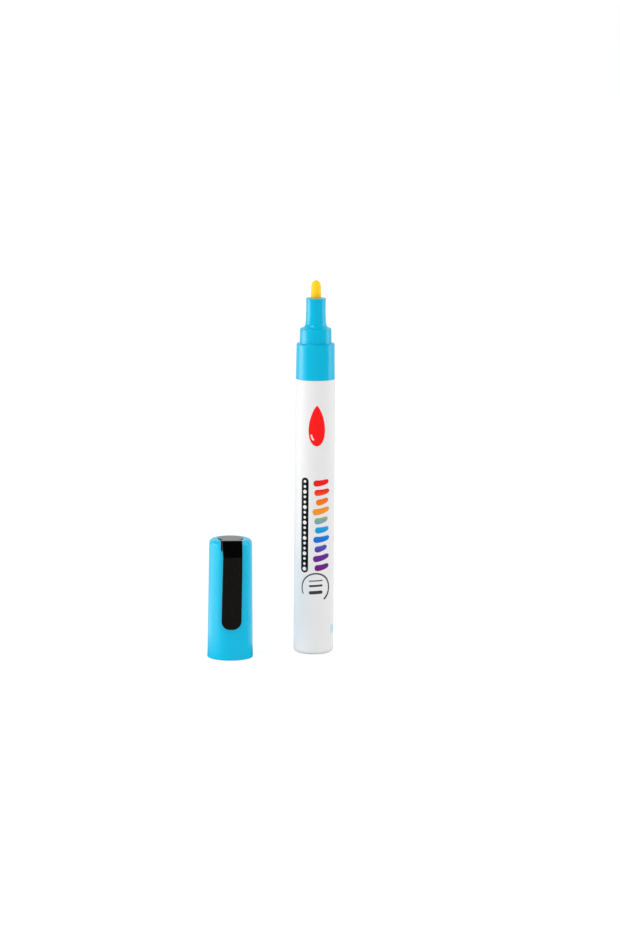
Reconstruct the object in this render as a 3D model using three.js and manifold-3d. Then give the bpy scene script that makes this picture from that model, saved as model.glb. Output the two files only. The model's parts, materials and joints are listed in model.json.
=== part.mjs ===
// A pump-action paint marker that stands on its foot, with its cap taken off beside it.
// Millimetres, +Z up. The origin is the centre of the marker's foot.
// The cap stands on its mouth to the left of the marker and a little nearer the viewer, at -Y.

import * as THREE from 'three';
import { mergeVertices } from 'three/addons/utils/BufferGeometryUtils.js';
import Module from 'manifold-3d';

const wasm = await Module();
wasm.setup();

// Facets round a large and a small turned piece
const LARGE_SIDES = 48;
const SMALL_SIDES = 32;
const ROUND_STEPS = 3;
const MERGE_DISTANCE = 1e-5;

// Barrel
const BARREL_RADIUS = 7.1;
const BARREL_WALL = 0.95;
const BARREL_LENGTH = 98.4;
const BARREL_FLOOR = 1.6;
const FOOT_ROUND = 1.0;
const BARREL_RIM_ROUND = 0.15;
const BARREL_INNER_ROUND = 1.2;

// Plug skirt of the front section, and the snap bead that holds it in the barrel
const PLUG_LENGTH = 9.0;
const PLUG_WALL = 1.1;
const PLUG_CLEARANCE = 0.06;
const PLUG_LEAD = 0.4;
const SNAP_DEPTH = 4.5;
const SNAP_HEIGHT = 0.22;
const SNAP_WIDTH = 0.9;
const SNAP_CLEARANCE = 0.06;

// Front section, from the barrel's rim up
const RING_LOW_RADIUS = 6.82;
const RING_HIGH_RADIUS = 6.65;
const RING_HEIGHT = 12.6;
const RING_ROUND = 0.4;
const STEP_LOW_RADIUS = 5.54;
const STEP_HIGH_RADIUS = 5.43;
const STEP_HEIGHT = 5.35;
const STEP_ROUND = 0.4;
const FLARE_RADIUS = 1.65;
const NOZZLE_BASE_RADIUS = 3.5;
const NOZZLE_TOP_RADIUS = 3.29;
const NOZZLE_HEIGHT = 10.65;
const NOZZLE_EASE = 5.2;
const LIP_HEIGHT = 1.15;
const LIP_STAND = 0.09;
const LIP_ROUND = 0.25;

// Nib
const NIB_RADIUS = 1.78;
const NIB_TIP_RADIUS = 1.64;
const NIB_REACH = 6.3;
const NIB_TAPER = 3.3;
const NIB_DOME = 2.35;
const NIB_LENGTH = 26.3;
const NIB_CLEARANCE = 0.1;

// Bores of the front section, from the valve up to the nozzle's mouth
const SEAT_RISE = 6.6;
const WELL_CLEARANCE = 1.8;
const WELL_LENGTH = 7.0;
const CHANNEL_DEPTH = 0.72;
const COLLAR_LENGTH = 1.9;
const CONE_LENGTH = 0.9;
const MOUTH_CHAMFER = 0.18;
const GUIDE_RIBS = 6;
const GUIDE_RIB_WIDTH = 0.55;
const RIB_BITE = 0.15;

// Valve housing and its base
const HOUSING_CLEARANCE = 0.1;
const HOUSING_LENGTH = 13.0;
const HOUSING_WALL = 0.9;
const HOUSING_WEB = 1.3;
const SEAT_LIP_HEIGHT = 0.3;
const SEAT_LIP_WIDTH = 0.45;
const BASE_THICKNESS = 1.5;
const BASE_STEP = 0.3;
const BASE_CLEARANCE = 0.08;
const BASE_BOSS_HEIGHT = 0.6;
const BASE_BOSS_WALL = 0.4;
const PAINT_HOLES = 6;
const PAINT_HOLE_RADIUS = 0.5;

// Valve stem and seal
const STEM_RADIUS = 1.75;
const STEM_SLOT = 0.45;
const STEM_DISH = 0.25;
const STEM_FLUTES = 4;
const FLUTE_RADIUS = 0.6;
const COLLAR_RADIUS = 3.0;
const COLLAR_HEIGHT = 1.2;
const TAIL_RADIUS = 1.45;
const TAIL_CLEARANCE = 0.1;
const TAIL_INSET = 0.3;
const EDGE_BREAK = 0.2;
const SEAL_RADIUS = 3.15;
const SEAL_THICKNESS = 0.9;
const SEAL_CLEARANCE = 0.06;
const SEAT_GAP = 0.05;

// Valve spring
const WIRE_RADIUS = 0.22;
const SPRING_RADIUS = 2.45;
const SPRING_TURNS = 5.5;
const SPRING_FLAT_TURN = 0.25;
const SPRING_STEPS = 12;
const SPRING_END_GAP = 0.03;
const WIRE_SIDES = 6;

// Mixing ball
const BALL_RADIUS = 2.5;
const BALL_GAP = 0.05;

// Cap: where it stands, and its outside
const CAP_X = -29.5;
const CAP_Y = -9.85;
const CAP_TURN = THREE.MathUtils.degToRad(4.5);
const CAP_LENGTH = 42.7;
const CAP_MOUTH_RADIUS = 8.12;
const CAP_LOW_RADIUS = 7.93;
const CAP_FLARE_HEIGHT = 5.0;
const CAP_HIGH_RADIUS = 7.47;
const CAP_TOP_ROUND = 1.75;
const CAP_RIM_ROUND = 0.25;

// Cap: its bore, roof and recess
const CAP_FIT = 0.12;
const CAP_WALL = 1.15;
const CAP_ROOF = 1.1;
const BEAD_RISE = 6.0;
const BEAD_HEIGHT = 0.07;
const BEAD_WIDTH = 1.2;
const RECESS_RADIUS = 5.15;
const RECESS_DEPTH = 3.85;
const NOTCH_DEPTH = 3.7;
const CAP_RIBS = 6;
const CAP_RIB_WIDTH = 0.8;

// Inner cap
const LINER_FIT = 0.12;
const LINER_WALL = 0.8;
const LINER_RISE = 0.3;
const LINER_TUBE_BORE = 3.95;
const LINER_CONE = 1.7;
const LINER_ROOF = 0.9;
const LINER_ROUND = 0.8;
const LINER_GAP = 0.1;

// Clip
const CLIP_CLEARANCE = 0.15;
const CLIP_PLATE = 1.5;
const CLIP_SKIRT_WALL = 0.9;
const CLIP_EDGE = 0.15;
const POST_RADIUS = 1.5;
const POST_CLEARANCE = 0.12;
const POST_REACH = 0.9;
const POST_BARB = 0.2;
const CLIP_TOP_REACH = 6.2;
const CLIP_GAP = 0.85;
const CLIP_THICKNESS = 1.1;
const CLIP_HIGH_WIDTH = 6.8;
const CLIP_LOW_WIDTH = 6.95;
const CREASE_DROP = 5.4;
const CREASE_GAP = 0.12;
const CLIP_DROP = 31.25;
const CLIP_CORNER = 3.05;
const CLIP_BEVEL = 0.22;
const PIP_RISE = 3.2;
const PIP_RADIUS = 1.3;
const PIP_GAP = 0.12;

// Heights that several pieces share
const plugBottom = BARREL_LENGTH - PLUG_LENGTH;
const ringTop = BARREL_LENGTH + RING_HEIGHT;
const stepTop = ringTop + STEP_HEIGHT;
const nozzleTop = stepTop + NOZZLE_HEIGHT;
const seatHeight = BARREL_LENGTH + SEAT_RISE;
const webUnder = seatHeight - HOUSING_WEB;
const lipUnder = webUnder - SEAT_LIP_HEIGHT;
const housingBottom = seatHeight - HOUSING_LENGTH;
const baseTop = housingBottom + BASE_THICKNESS;
const sealTop = lipUnder - SEAT_GAP;
const collarTop = sealTop - SEAL_THICKNESS;
const collarUnder = collarTop - COLLAR_HEIGHT;
const nibTip = nozzleTop + NIB_REACH;
const nibBase = nibTip - NIB_LENGTH;

// Radii that several pieces share
const barrelBore = BARREL_RADIUS - BARREL_WALL;
const plugRadius = barrelBore - PLUG_CLEARANCE;
const chamberRadius = plugRadius - PLUG_WALL;
const housingRadius = chamberRadius - HOUSING_CLEARANCE;
const housingBore = housingRadius - HOUSING_WALL;
const seatRadius = STEM_RADIUS + STEM_SLOT;
const guideRadius = NIB_RADIUS + NIB_CLEARANCE;
const channelRadius = guideRadius + CHANNEL_DEPTH;
const wellRadius = STEM_RADIUS + WELL_CLEARANCE;

// Heights and radii in the cap, measured from its mouth
const recessFloor = CAP_LENGTH - RECESS_DEPTH;
const notchFloor = CAP_LENGTH - NOTCH_DEPTH;
const roofUnder = recessFloor - CAP_ROOF;
const boreAtMouth = RING_LOW_RADIUS + CAP_FIT;
const boreAtRing = RING_HIGH_RADIUS + CAP_FIT;
const boreAtRoof = CAP_HIGH_RADIUS - CAP_WALL;
const creaseHeight = CAP_LENGTH - CREASE_DROP;
const linerMouth = RING_HEIGHT + LINER_RISE;
const linerBellTop = linerMouth + STEP_HEIGHT;
const linerBellBore = STEP_LOW_RADIUS + LINER_FIT;
const linerTubeRadius = LINER_TUBE_BORE + LINER_WALL;
const linerShoulder = linerBellTop + LINER_CONE + LINER_WALL;
const linerTop = roofUnder - POST_REACH - LINER_GAP;

// The cap's outer radius on its straight side
function capRadiusAt(height) {
  const share = (height - CAP_FLARE_HEIGHT) / (CAP_LENGTH - CAP_TOP_ROUND - CAP_FLARE_HEIGHT);
  return THREE.MathUtils.lerp(CAP_LOW_RADIUS, CAP_HIGH_RADIUS, share);
}

// The cap's bore radius above the ring
function capBoreAt(height) {
  const share = (height - RING_HEIGHT) / (roofUnder - RING_HEIGHT);
  return THREE.MathUtils.lerp(boreAtRing, boreAtRoof, share);
}

// Points [radius, height] along a part of an ellipse, with both ends
function arc(centre, radius, height, fromDegrees, toDegrees, steps = ROUND_STEPS) {
  const points = [];
  for (let i = 0; i <= steps; i += 1) {
    const angle = THREE.MathUtils.degToRad(fromDegrees + ((toDegrees - fromDegrees) * i) / steps);
    points.push([centre[0] + radius * Math.cos(angle), centre[1] + height * Math.sin(angle)]);
  }
  return points;
}

// One closed body: shared corners merged, empty triangles dropped, faces turned outwards
function weld(geometry) {
  const bare = geometry.clone();
  bare.deleteAttribute('normal');
  bare.deleteAttribute('uv');
  const merged = mergeVertices(bare, MERGE_DISTANCE);
  const places = merged.getAttribute('position');
  const corners = merged.getIndex().array;
  const kept = [];
  const [a, b, c] = [new THREE.Vector3(), new THREE.Vector3(), new THREE.Vector3()];
  let volume = 0;
  for (let i = 0; i < corners.length; i += 3) {
    const triangle = [corners[i], corners[i + 1], corners[i + 2]];
    if (new Set(triangle).size === 3) {
      kept.push(triangle);
      a.fromBufferAttribute(places, triangle[0]);
      b.fromBufferAttribute(places, triangle[1]);
      c.fromBufferAttribute(places, triangle[2]);
      volume += a.dot(b.cross(c));
    }
  }
  const outward = volume < 0 ? kept.map(([p, q, r]) => [p, r, q]) : kept;
  merged.setIndex(outward.flat());
  return merged;
}

// A piece turned round the Z axis from a profile of [radius, height] points
function turned(profile, sides) {
  const points = profile.map(([radius, height]) => new THREE.Vector2(radius, height));
  const geometry = weld(new THREE.LatheGeometry(points, sides));
  geometry.rotateX(Math.PI / 2);
  return geometry;
}

// A turned piece whose profile is a closed loop that stays off the axis
function turnedRing(loop, sides) {
  return turned([...loop, loop[0]], sides);
}

// A flat shape of [across, up] points as a plate that faces -Y, its back at the plane Y = 0
function plateFacingFront(shape, thickness, bevel) {
  const geometry = weld(new THREE.ExtrudeGeometry(shape, {
    depth: thickness - 2 * bevel,
    bevelEnabled: bevel > 0,
    bevelThickness: bevel,
    bevelSize: bevel,
    bevelOffset: -bevel,
    bevelSegments: 2,
    curveSegments: 8,
  }));
  geometry.translate(0, 0, bevel);
  geometry.rotateX(Math.PI / 2);
  return geometry;
}

// A side view of [radius, height] points, extruded to a width and turned round Z to an angle
function finAt(angle, sideView, width) {
  const shape = new THREE.Shape(sideView.map(([radius, height]) => new THREE.Vector2(radius, height)));
  const geometry = weld(new THREE.ExtrudeGeometry(shape, { depth: width, bevelEnabled: false }));
  geometry.translate(0, 0, -width / 2);
  geometry.rotateX(Math.PI / 2);
  geometry.rotateZ(angle);
  return geometry;
}

// A round bar along Z, for a hole or a flute
function bar(radius, low, high, x, y, sides = 16) {
  const geometry = weld(new THREE.CylinderGeometry(radius, radius, high - low, sides));
  geometry.rotateX(Math.PI / 2);
  geometry.translate(x, y, (low + high) / 2);
  return geometry;
}

// The angles of a pattern of equal turns
function turns(count) {
  return Array.from({ length: count }, (_, i) => (2 * Math.PI * i) / count);
}

function solidOf(geometry) {
  const mesh = new wasm.Mesh({
    numProp: 3,
    vertProperties: new Float32Array(geometry.getAttribute('position').array),
    triVerts: new Uint32Array(geometry.getIndex().array),
  });
  return new wasm.Manifold(mesh);
}

function geometryOf(solid) {
  const mesh = solid.getMesh();
  const geometry = new THREE.BufferGeometry();
  geometry.setAttribute('position', new THREE.BufferAttribute(mesh.vertProperties, 3));
  geometry.setIndex(new THREE.BufferAttribute(mesh.triVerts, 1));
  return geometry;
}

function joined(body, additions) {
  return geometryOf(additions.reduce((sum, extra) => sum.add(solidOf(extra)), solidOf(body)));
}

function cutBy(body, tools) {
  return geometryOf(tools.reduce((rest, tool) => rest.subtract(solidOf(tool)), solidOf(body)));
}

function named(name, geometry, colour, roughness, metalness = 0) {
  const finish = new THREE.MeshStandardMaterial({ color: colour, roughness, metalness });
  const mesh = new THREE.Mesh(geometry, finish);
  mesh.name = name;
  return mesh;
}

// A shallow ridge or groove on a wall at a radius, as three profile points from low to high
function ridge(radius, height, stand, width) {
  return [
    [radius, height - width / 2],
    [radius + stand, height],
    [radius, height + width / 2],
  ];
}

// The white tube with its closed foot, and the snap groove inside its mouth
function barrel() {
  const snapHeight = BARREL_LENGTH - SNAP_DEPTH;
  const grooveWidth = SNAP_WIDTH + 2 * SNAP_CLEARANCE;
  const profile = [
    [0, 0],
    ...arc([BARREL_RADIUS - FOOT_ROUND, FOOT_ROUND], FOOT_ROUND, FOOT_ROUND, -90, 0, 4),
    ...arc(
      [BARREL_RADIUS - BARREL_RIM_ROUND, BARREL_LENGTH - BARREL_RIM_ROUND],
      BARREL_RIM_ROUND, BARREL_RIM_ROUND, 0, 90, 2,
    ),
    [barrelBore, BARREL_LENGTH],
    ...ridge(barrelBore, snapHeight, SNAP_HEIGHT, grooveWidth).reverse(),
    ...arc(
      [barrelBore - BARREL_INNER_ROUND, BARREL_FLOOR + BARREL_INNER_ROUND],
      BARREL_INNER_ROUND, BARREL_INNER_ROUND, 0, -90, 3,
    ),
    [0, BARREL_FLOOR],
  ];
  return named('barrel', turned(profile, LARGE_SIDES), 0xf1f1f0, 0.3);
}

// The outside of the front section, from the plug's foot to the nozzle's mouth
function frontOutside() {
  const flareHeight = stepTop + FLARE_RADIUS;
  const nozzle = [];
  for (let i = 1; i <= 4; i += 1) {
    const share = i / 4;
    const eased = 1 - (1 - share) ** 2;
    nozzle.push([
      THREE.MathUtils.lerp(NOZZLE_BASE_RADIUS, NOZZLE_TOP_RADIUS, eased),
      flareHeight + NOZZLE_EASE * share,
    ]);
  }
  const lipRadius = NOZZLE_TOP_RADIUS + LIP_STAND;
  const lipBottom = nozzleTop - LIP_HEIGHT;
  return [
    [plugRadius - PLUG_LEAD, plugBottom],
    [plugRadius, plugBottom + PLUG_LEAD],
    ...ridge(plugRadius, BARREL_LENGTH - SNAP_DEPTH, SNAP_HEIGHT, SNAP_WIDTH),
    [plugRadius, BARREL_LENGTH],
    [RING_LOW_RADIUS, BARREL_LENGTH],
    ...arc([RING_HIGH_RADIUS - RING_ROUND, ringTop - RING_ROUND], RING_ROUND, RING_ROUND, 0, 90),
    [STEP_LOW_RADIUS, ringTop],
    ...arc([STEP_HIGH_RADIUS - STEP_ROUND, stepTop - STEP_ROUND], STEP_ROUND, STEP_ROUND, 0, 80),
    ...arc([NOZZLE_BASE_RADIUS + FLARE_RADIUS, flareHeight], FLARE_RADIUS, FLARE_RADIUS, 270, 180, 4),
    ...nozzle,
    [NOZZLE_TOP_RADIUS, lipBottom],
    [lipRadius, lipBottom + LIP_STAND],
    ...arc([lipRadius - LIP_ROUND, nozzleTop - LIP_ROUND], LIP_ROUND, LIP_ROUND, 0, 90, 2),
  ];
}

// The bores of the front section, from the nozzle's mouth down to the plug's foot.
// Each bore is wider than the one above it, so one core could draw out of the mould.
function frontBores() {
  const collarBottom = nozzleTop - COLLAR_LENGTH;
  const wellTop = seatHeight + WELL_LENGTH;
  return [
    [guideRadius + MOUTH_CHAMFER, nozzleTop],
    [guideRadius, nozzleTop - MOUTH_CHAMFER],
    [guideRadius, collarBottom],
    [channelRadius, collarBottom - CONE_LENGTH],
    [channelRadius, wellTop + CONE_LENGTH],
    [wellRadius, wellTop],
    [wellRadius, seatHeight],
    [chamberRadius, seatHeight],
    [chamberRadius, plugBottom],
  ];
}

// Ribs that centre the nib and leave channels between them for the paint
function guideRib(angle) {
  const low = seatHeight + WELL_LENGTH + CONE_LENGTH;
  const high = nozzleTop - COLLAR_LENGTH;
  const wall = channelRadius + RIB_BITE;
  const lead = CHANNEL_DEPTH;
  const sideView = [[wall, low], [wall, high], [guideRadius, high], [guideRadius, low + lead]];
  return finAt(angle, sideView, GUIDE_RIB_WIDTH);
}

// The cyan stepped piece that plugs into the barrel and guides the nib
function frontSection() {
  const shell = turnedRing([...frontOutside(), ...frontBores()], LARGE_SIDES);
  const body = joined(shell, turns(GUIDE_RIBS).map(guideRib));
  return named('front_section', body, 0x00b8e2, 0.22);
}

// The bullet nib of pressed fibre
function nib() {
  const domeHeight = nibTip - NIB_DOME;
  const profile = [
    [0, nibBase],
    [NIB_RADIUS - EDGE_BREAK, nibBase],
    [NIB_RADIUS, nibBase + EDGE_BREAK],
    [NIB_RADIUS, domeHeight - NIB_TAPER],
    ...arc([0, domeHeight], NIB_TIP_RADIUS, NIB_DOME, 0, 90, 6),
  ];
  profile[profile.length - 1][0] = 0;
  return named('nib', turned(profile, SMALL_SIDES), 0xfcc81c, 0.85);
}

// The valve's cup, pressed into the plug, with the seat lip under its web
function valveHousing() {
  const counterbore = housingBore + BASE_STEP;
  const loop = [
    [counterbore, housingBottom],
    [housingRadius, housingBottom],
    [housingRadius, seatHeight - EDGE_BREAK],
    [housingRadius - EDGE_BREAK, seatHeight],
    [seatRadius, seatHeight],
    [seatRadius, lipUnder],
    [seatRadius + SEAT_LIP_WIDTH, lipUnder],
    [seatRadius + SEAT_LIP_WIDTH, webUnder],
    [housingBore, webUnder],
    [housingBore, baseTop],
    [counterbore, baseTop],
  ];
  return named('valve_housing', turnedRing(loop, LARGE_SIDES), 0xf4f4f0, 0.5);
}

// The perforated disc that closes the cup, guides the stem's tail and carries the spring
function valveBase() {
  const radius = housingBore + BASE_STEP - BASE_CLEARANCE;
  const tailHole = TAIL_RADIUS + TAIL_CLEARANCE;
  const bossRadius = tailHole + BASE_BOSS_WALL;
  const loop = [
    [tailHole, housingBottom],
    [radius, housingBottom],
    [radius, baseTop],
    [bossRadius, baseTop],
    [bossRadius, baseTop + BASE_BOSS_HEIGHT],
    [tailHole, baseTop + BASE_BOSS_HEIGHT],
  ];
  const ringRadius = (bossRadius + radius) / 2;
  const holes = turns(PAINT_HOLES).map((angle) => bar(
    PAINT_HOLE_RADIUS, housingBottom - 1, baseTop + 1,
    ringRadius * Math.cos(angle), ringRadius * Math.sin(angle), 12,
  ));
  return named('valve_base', cutBy(turnedRing(loop, SMALL_SIDES), holes), 0xf4f4f0, 0.5);
}

// The rod under the nib: a fluted shaft, the collar that carries the seal, and a tail
function valveStem() {
  const tailBottom = housingBottom + TAIL_INSET;
  const profile = [
    [0, tailBottom],
    [TAIL_RADIUS - EDGE_BREAK, tailBottom],
    [TAIL_RADIUS, tailBottom + EDGE_BREAK],
    [TAIL_RADIUS, collarUnder],
    [COLLAR_RADIUS, collarUnder],
    [COLLAR_RADIUS, collarTop],
    [STEM_RADIUS, collarTop],
    [STEM_RADIUS, nibBase - EDGE_BREAK],
    [STEM_RADIUS - EDGE_BREAK, nibBase],
    [STEM_RADIUS / 2, nibBase],
    [0, nibBase - STEM_DISH],
  ];
  const flutes = turns(STEM_FLUTES).map((angle) => bar(
    FLUTE_RADIUS, sealTop, nibBase + 1,
    STEM_RADIUS * Math.cos(angle), STEM_RADIUS * Math.sin(angle), 12,
  ));
  return named('valve_stem', cutBy(turned(profile, SMALL_SIDES), flutes), 0xe9e9e4, 0.45);
}

// The soft ring on the collar that shuts against the seat lip
function valveSeal() {
  const bore = STEM_RADIUS + SEAL_CLEARANCE;
  const loop = [
    [bore, collarTop],
    [SEAL_RADIUS, collarTop],
    [SEAL_RADIUS, sealTop - EDGE_BREAK],
    [SEAL_RADIUS - EDGE_BREAK, sealTop],
    [bore, sealTop],
  ];
  return named('valve_seal', turnedRing(loop, SMALL_SIDES), 0x2a2a2c, 0.7);
}

// The centre line of the spring's wire, level for a little at both ends
class SpringLine extends THREE.Curve {
  getPoint(share, target = new THREE.Vector3()) {
    const low = baseTop + SPRING_END_GAP + WIRE_RADIUS;
    const high = collarUnder - SPRING_END_GAP - WIRE_RADIUS;
    const turn = share * SPRING_TURNS;
    const climb = (turn - SPRING_FLAT_TURN) / (SPRING_TURNS - 2 * SPRING_FLAT_TURN);
    const height = THREE.MathUtils.lerp(low, high, THREE.MathUtils.clamp(climb, 0, 1));
    const angle = 2 * Math.PI * turn;
    return target.set(SPRING_RADIUS * Math.cos(angle), SPRING_RADIUS * Math.sin(angle), height);
  }
}

// The steel spring that holds the valve shut
function valveSpring() {
  const section = new THREE.Shape();
  section.absarc(0, 0, WIRE_RADIUS, 0, 2 * Math.PI);
  const geometry = new THREE.ExtrudeGeometry(section, {
    steps: Math.round(SPRING_TURNS * SPRING_STEPS),
    extrudePath: new SpringLine(),
    curveSegments: WIRE_SIDES / 2,
  });
  return named('valve_spring', weld(geometry), 0xb9bcc0, 0.3, 1);
}

// The steel ball that stirs the paint, at rest on the barrel's floor
function mixingBall() {
  const geometry = weld(new THREE.SphereGeometry(BALL_RADIUS, 20, 12));
  geometry.rotateX(Math.PI / 2);
  geometry.translate(0, 0, BARREL_FLOOR + BALL_GAP + BALL_RADIUS);
  return named('mixing_ball', geometry, 0xb4b7bb, 0.15, 1);
}

// The cap's wall, from the mouth up over the top, into the recess and down the bore
function capProfile() {
  const flare = [];
  for (let i = 1; i <= 3; i += 1) {
    const share = i / 3;
    const eased = 1 - (1 - share) ** 2;
    flare.push([
      THREE.MathUtils.lerp(CAP_MOUTH_RADIUS, CAP_LOW_RADIUS, eased),
      THREE.MathUtils.lerp(CAP_RIM_ROUND, CAP_FLARE_HEIGHT, share),
    ]);
  }
  const postHole = POST_RADIUS + POST_CLEARANCE;
  const boreAtBead = THREE.MathUtils.lerp(boreAtMouth, boreAtRing, BEAD_RISE / RING_HEIGHT);
  return [
    ...arc([CAP_MOUTH_RADIUS - CAP_RIM_ROUND, CAP_RIM_ROUND], CAP_RIM_ROUND, CAP_RIM_ROUND, -90, 0, 2),
    ...flare,
    ...arc(
      [CAP_HIGH_RADIUS - CAP_TOP_ROUND, CAP_LENGTH - CAP_TOP_ROUND],
      CAP_TOP_ROUND, CAP_TOP_ROUND, 0, 90, 5,
    ),
    [RECESS_RADIUS, CAP_LENGTH],
    [RECESS_RADIUS, recessFloor],
    [postHole, recessFloor],
    [postHole, roofUnder],
    [boreAtRoof, roofUnder],
    [boreAtRing, RING_HEIGHT],
    ...ridge(boreAtBead, BEAD_RISE, -BEAD_HEIGHT, BEAD_WIDTH).reverse(),
    [boreAtMouth, CAP_RIM_ROUND],
    [boreAtMouth + CAP_RIM_ROUND, 0],
  ];
}

// A long rib inside the cap that grips the inner cap
function capRib(angle) {
  const low = linerShoulder + LINER_GAP;
  const inner = linerTubeRadius + LINER_GAP;
  const sideView = [
    [inner, low],
    [capBoreAt(low) + RIB_BITE, low],
    [boreAtRoof + RIB_BITE, roofUnder + RIB_BITE],
    [inner, roofUnder + RIB_BITE],
  ];
  return finAt(angle, sideView, CAP_RIB_WIDTH);
}

// The cyan cap, notched at the front for the clip's neck
function capShell() {
  const notch = weld(new THREE.BoxGeometry(
    CLIP_HIGH_WIDTH + 2 * CLIP_CLEARANCE, 2 * CAP_MOUTH_RADIUS, 2 * NOTCH_DEPTH,
  ));
  notch.translate(0, -RECESS_RADIUS / 2 - CAP_MOUTH_RADIUS, CAP_LENGTH);
  const shell = joined(turnedRing(capProfile(), LARGE_SIDES), turns(CAP_RIBS).map(capRib));
  return named('cap_shell', cutBy(shell, [notch]), 0x00bce6, 0.35);
}

// The inner cap: a bell that seals on the step, and a tube over the nozzle and nib
function capLiner() {
  const tubeTop = linerTop - LINER_ROOF;
  const bellRadius = linerBellBore + LINER_WALL;
  const profile = [
    [0, tubeTop],
    ...arc([LINER_TUBE_BORE - LINER_ROUND, tubeTop - LINER_ROUND], LINER_ROUND, LINER_ROUND, 90, 0, 2),
    [LINER_TUBE_BORE, linerBellTop + LINER_CONE],
    [linerBellBore, linerBellTop],
    [linerBellBore, linerMouth + EDGE_BREAK],
    [linerBellBore + EDGE_BREAK, linerMouth],
    [bellRadius, linerMouth],
    [bellRadius, linerBellTop + LINER_WALL / 2],
    [linerTubeRadius, linerShoulder],
    ...arc([linerTubeRadius - LINER_ROUND, linerTop - LINER_ROUND], LINER_ROUND, LINER_ROUND, 0, 90, 2),
    [0, linerTop],
  ];
  return named('cap_liner', turned(profile, SMALL_SIDES), 0xf2f3f1, 0.5);
}

// The clip's outer face radius where its neck meets its arm
function clipFaceRadius() {
  return capRadiusAt(creaseHeight) + CLIP_GAP + CLIP_THICKNESS;
}

// The black plug in the cap's top, with a snap post, and the neck that leaves through the notch
function clipHead() {
  const plugR = RECESS_RADIUS - CLIP_CLEARANCE;
  const skirtBore = plugR - CLIP_SKIRT_WALL;
  const skirtBottom = recessFloor + CREASE_GAP;
  const plateUnder = CAP_LENGTH - CLIP_PLATE;
  const postBottom = roofUnder - POST_REACH;
  const barbRadius = POST_RADIUS + POST_BARB;
  const barbTop = roofUnder - POST_CLEARANCE;
  const plug = turned([
    [0, postBottom],
    [POST_RADIUS - POST_BARB, postBottom],
    [barbRadius, barbTop - POST_BARB],
    [barbRadius, barbTop],
    [POST_RADIUS, barbTop],
    [POST_RADIUS, plateUnder],
    [skirtBore, plateUnder],
    [skirtBore, skirtBottom],
    [plugR, skirtBottom],
    [plugR, CAP_LENGTH - CLIP_EDGE],
    [plugR - CLIP_EDGE, CAP_LENGTH],
    [0, CAP_LENGTH],
  ], LARGE_SIDES);
  const neckRoot = plugR - CLIP_SKIRT_WALL / 2;
  const neckUnder = notchFloor + CREASE_GAP;
  const face = clipFaceRadius();
  const neck = finAt(-Math.PI / 2, [
    [neckRoot, neckUnder],
    [capRadiusAt(neckUnder) + CREASE_GAP, neckUnder],
    [face - CLIP_THICKNESS, creaseHeight],
    [face, creaseHeight],
    [CLIP_TOP_REACH, CAP_LENGTH],
    [neckRoot, CAP_LENGTH],
  ], CLIP_HIGH_WIDTH);
  return named('clip_head', joined(plug, [neck]), 0x060606, 0.15);
}

// The arm's outline seen from the front, from its foot up to its top edge
function armOutline(length) {
  const low = CLIP_LOW_WIDTH / 2;
  const high = CLIP_HIGH_WIDTH / 2;
  const outline = new THREE.Shape();
  outline.moveTo(high, 0);
  outline.lineTo(-high, 0);
  outline.lineTo(-low, -length + CLIP_CORNER);
  outline.absarc(-low + CLIP_CORNER, -length + CLIP_CORNER, CLIP_CORNER, Math.PI, 1.5 * Math.PI, false);
  outline.absarc(low - CLIP_CORNER, -length + CLIP_CORNER, CLIP_CORNER, 1.5 * Math.PI, 2 * Math.PI, false);
  outline.closePath();
  return outline;
}

// The springy arm below the crease. It follows the cap's taper, with a pip inside its tip.
function clipArm() {
  const top = creaseHeight - CREASE_GAP;
  const length = top - (CAP_LENGTH - CLIP_DROP);
  const lean = Math.atan2(capRadiusAt(top - length) - capRadiusAt(top), length);
  const plate = plateFacingFront(armOutline(length), CLIP_THICKNESS, CLIP_BEVEL);
  const pip = weld(new THREE.SphereGeometry(PIP_RADIUS, 12, 8));
  pip.scale(1, (CLIP_GAP - PIP_GAP) / PIP_RADIUS, 1);
  pip.translate(0, 0, -length + PIP_RISE);
  const arm = joined(plate, [pip]);
  arm.rotateX(-lean);
  arm.translate(0, -(clipFaceRadius() - CLIP_THICKNESS), top);
  return named('clip_arm', arm, 0x1a1816, 0.4);
}

const marker = new THREE.Group();
marker.add(barrel(), frontSection(), nib());
marker.add(valveHousing(), valveBase(), valveStem(), valveSeal(), valveSpring(), mixingBall());

const cap = new THREE.Group();
cap.position.set(CAP_X, CAP_Y, 0);
cap.rotation.z = CAP_TURN;
cap.add(capShell(), capLiner(), clipHead(), clipArm());

const group = new THREE.Group();
group.add(marker, cap);

export default group;
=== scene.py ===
# %% [markdown]
# # A paint marker with its cap taken off
#
# The object is a pump-action paint marker. It stands on its foot, and its cap stands beside it on its
# mouth. The moulded parts exist already as plain solids at their real size, which also carry the joints
# and the collision. This lesson loads those solids as a fixed frame and makes what the eye sees: finer
# turned surfaces, moulded plastics, pressed fibre, printed ink, a camera and soft studio light.

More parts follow.
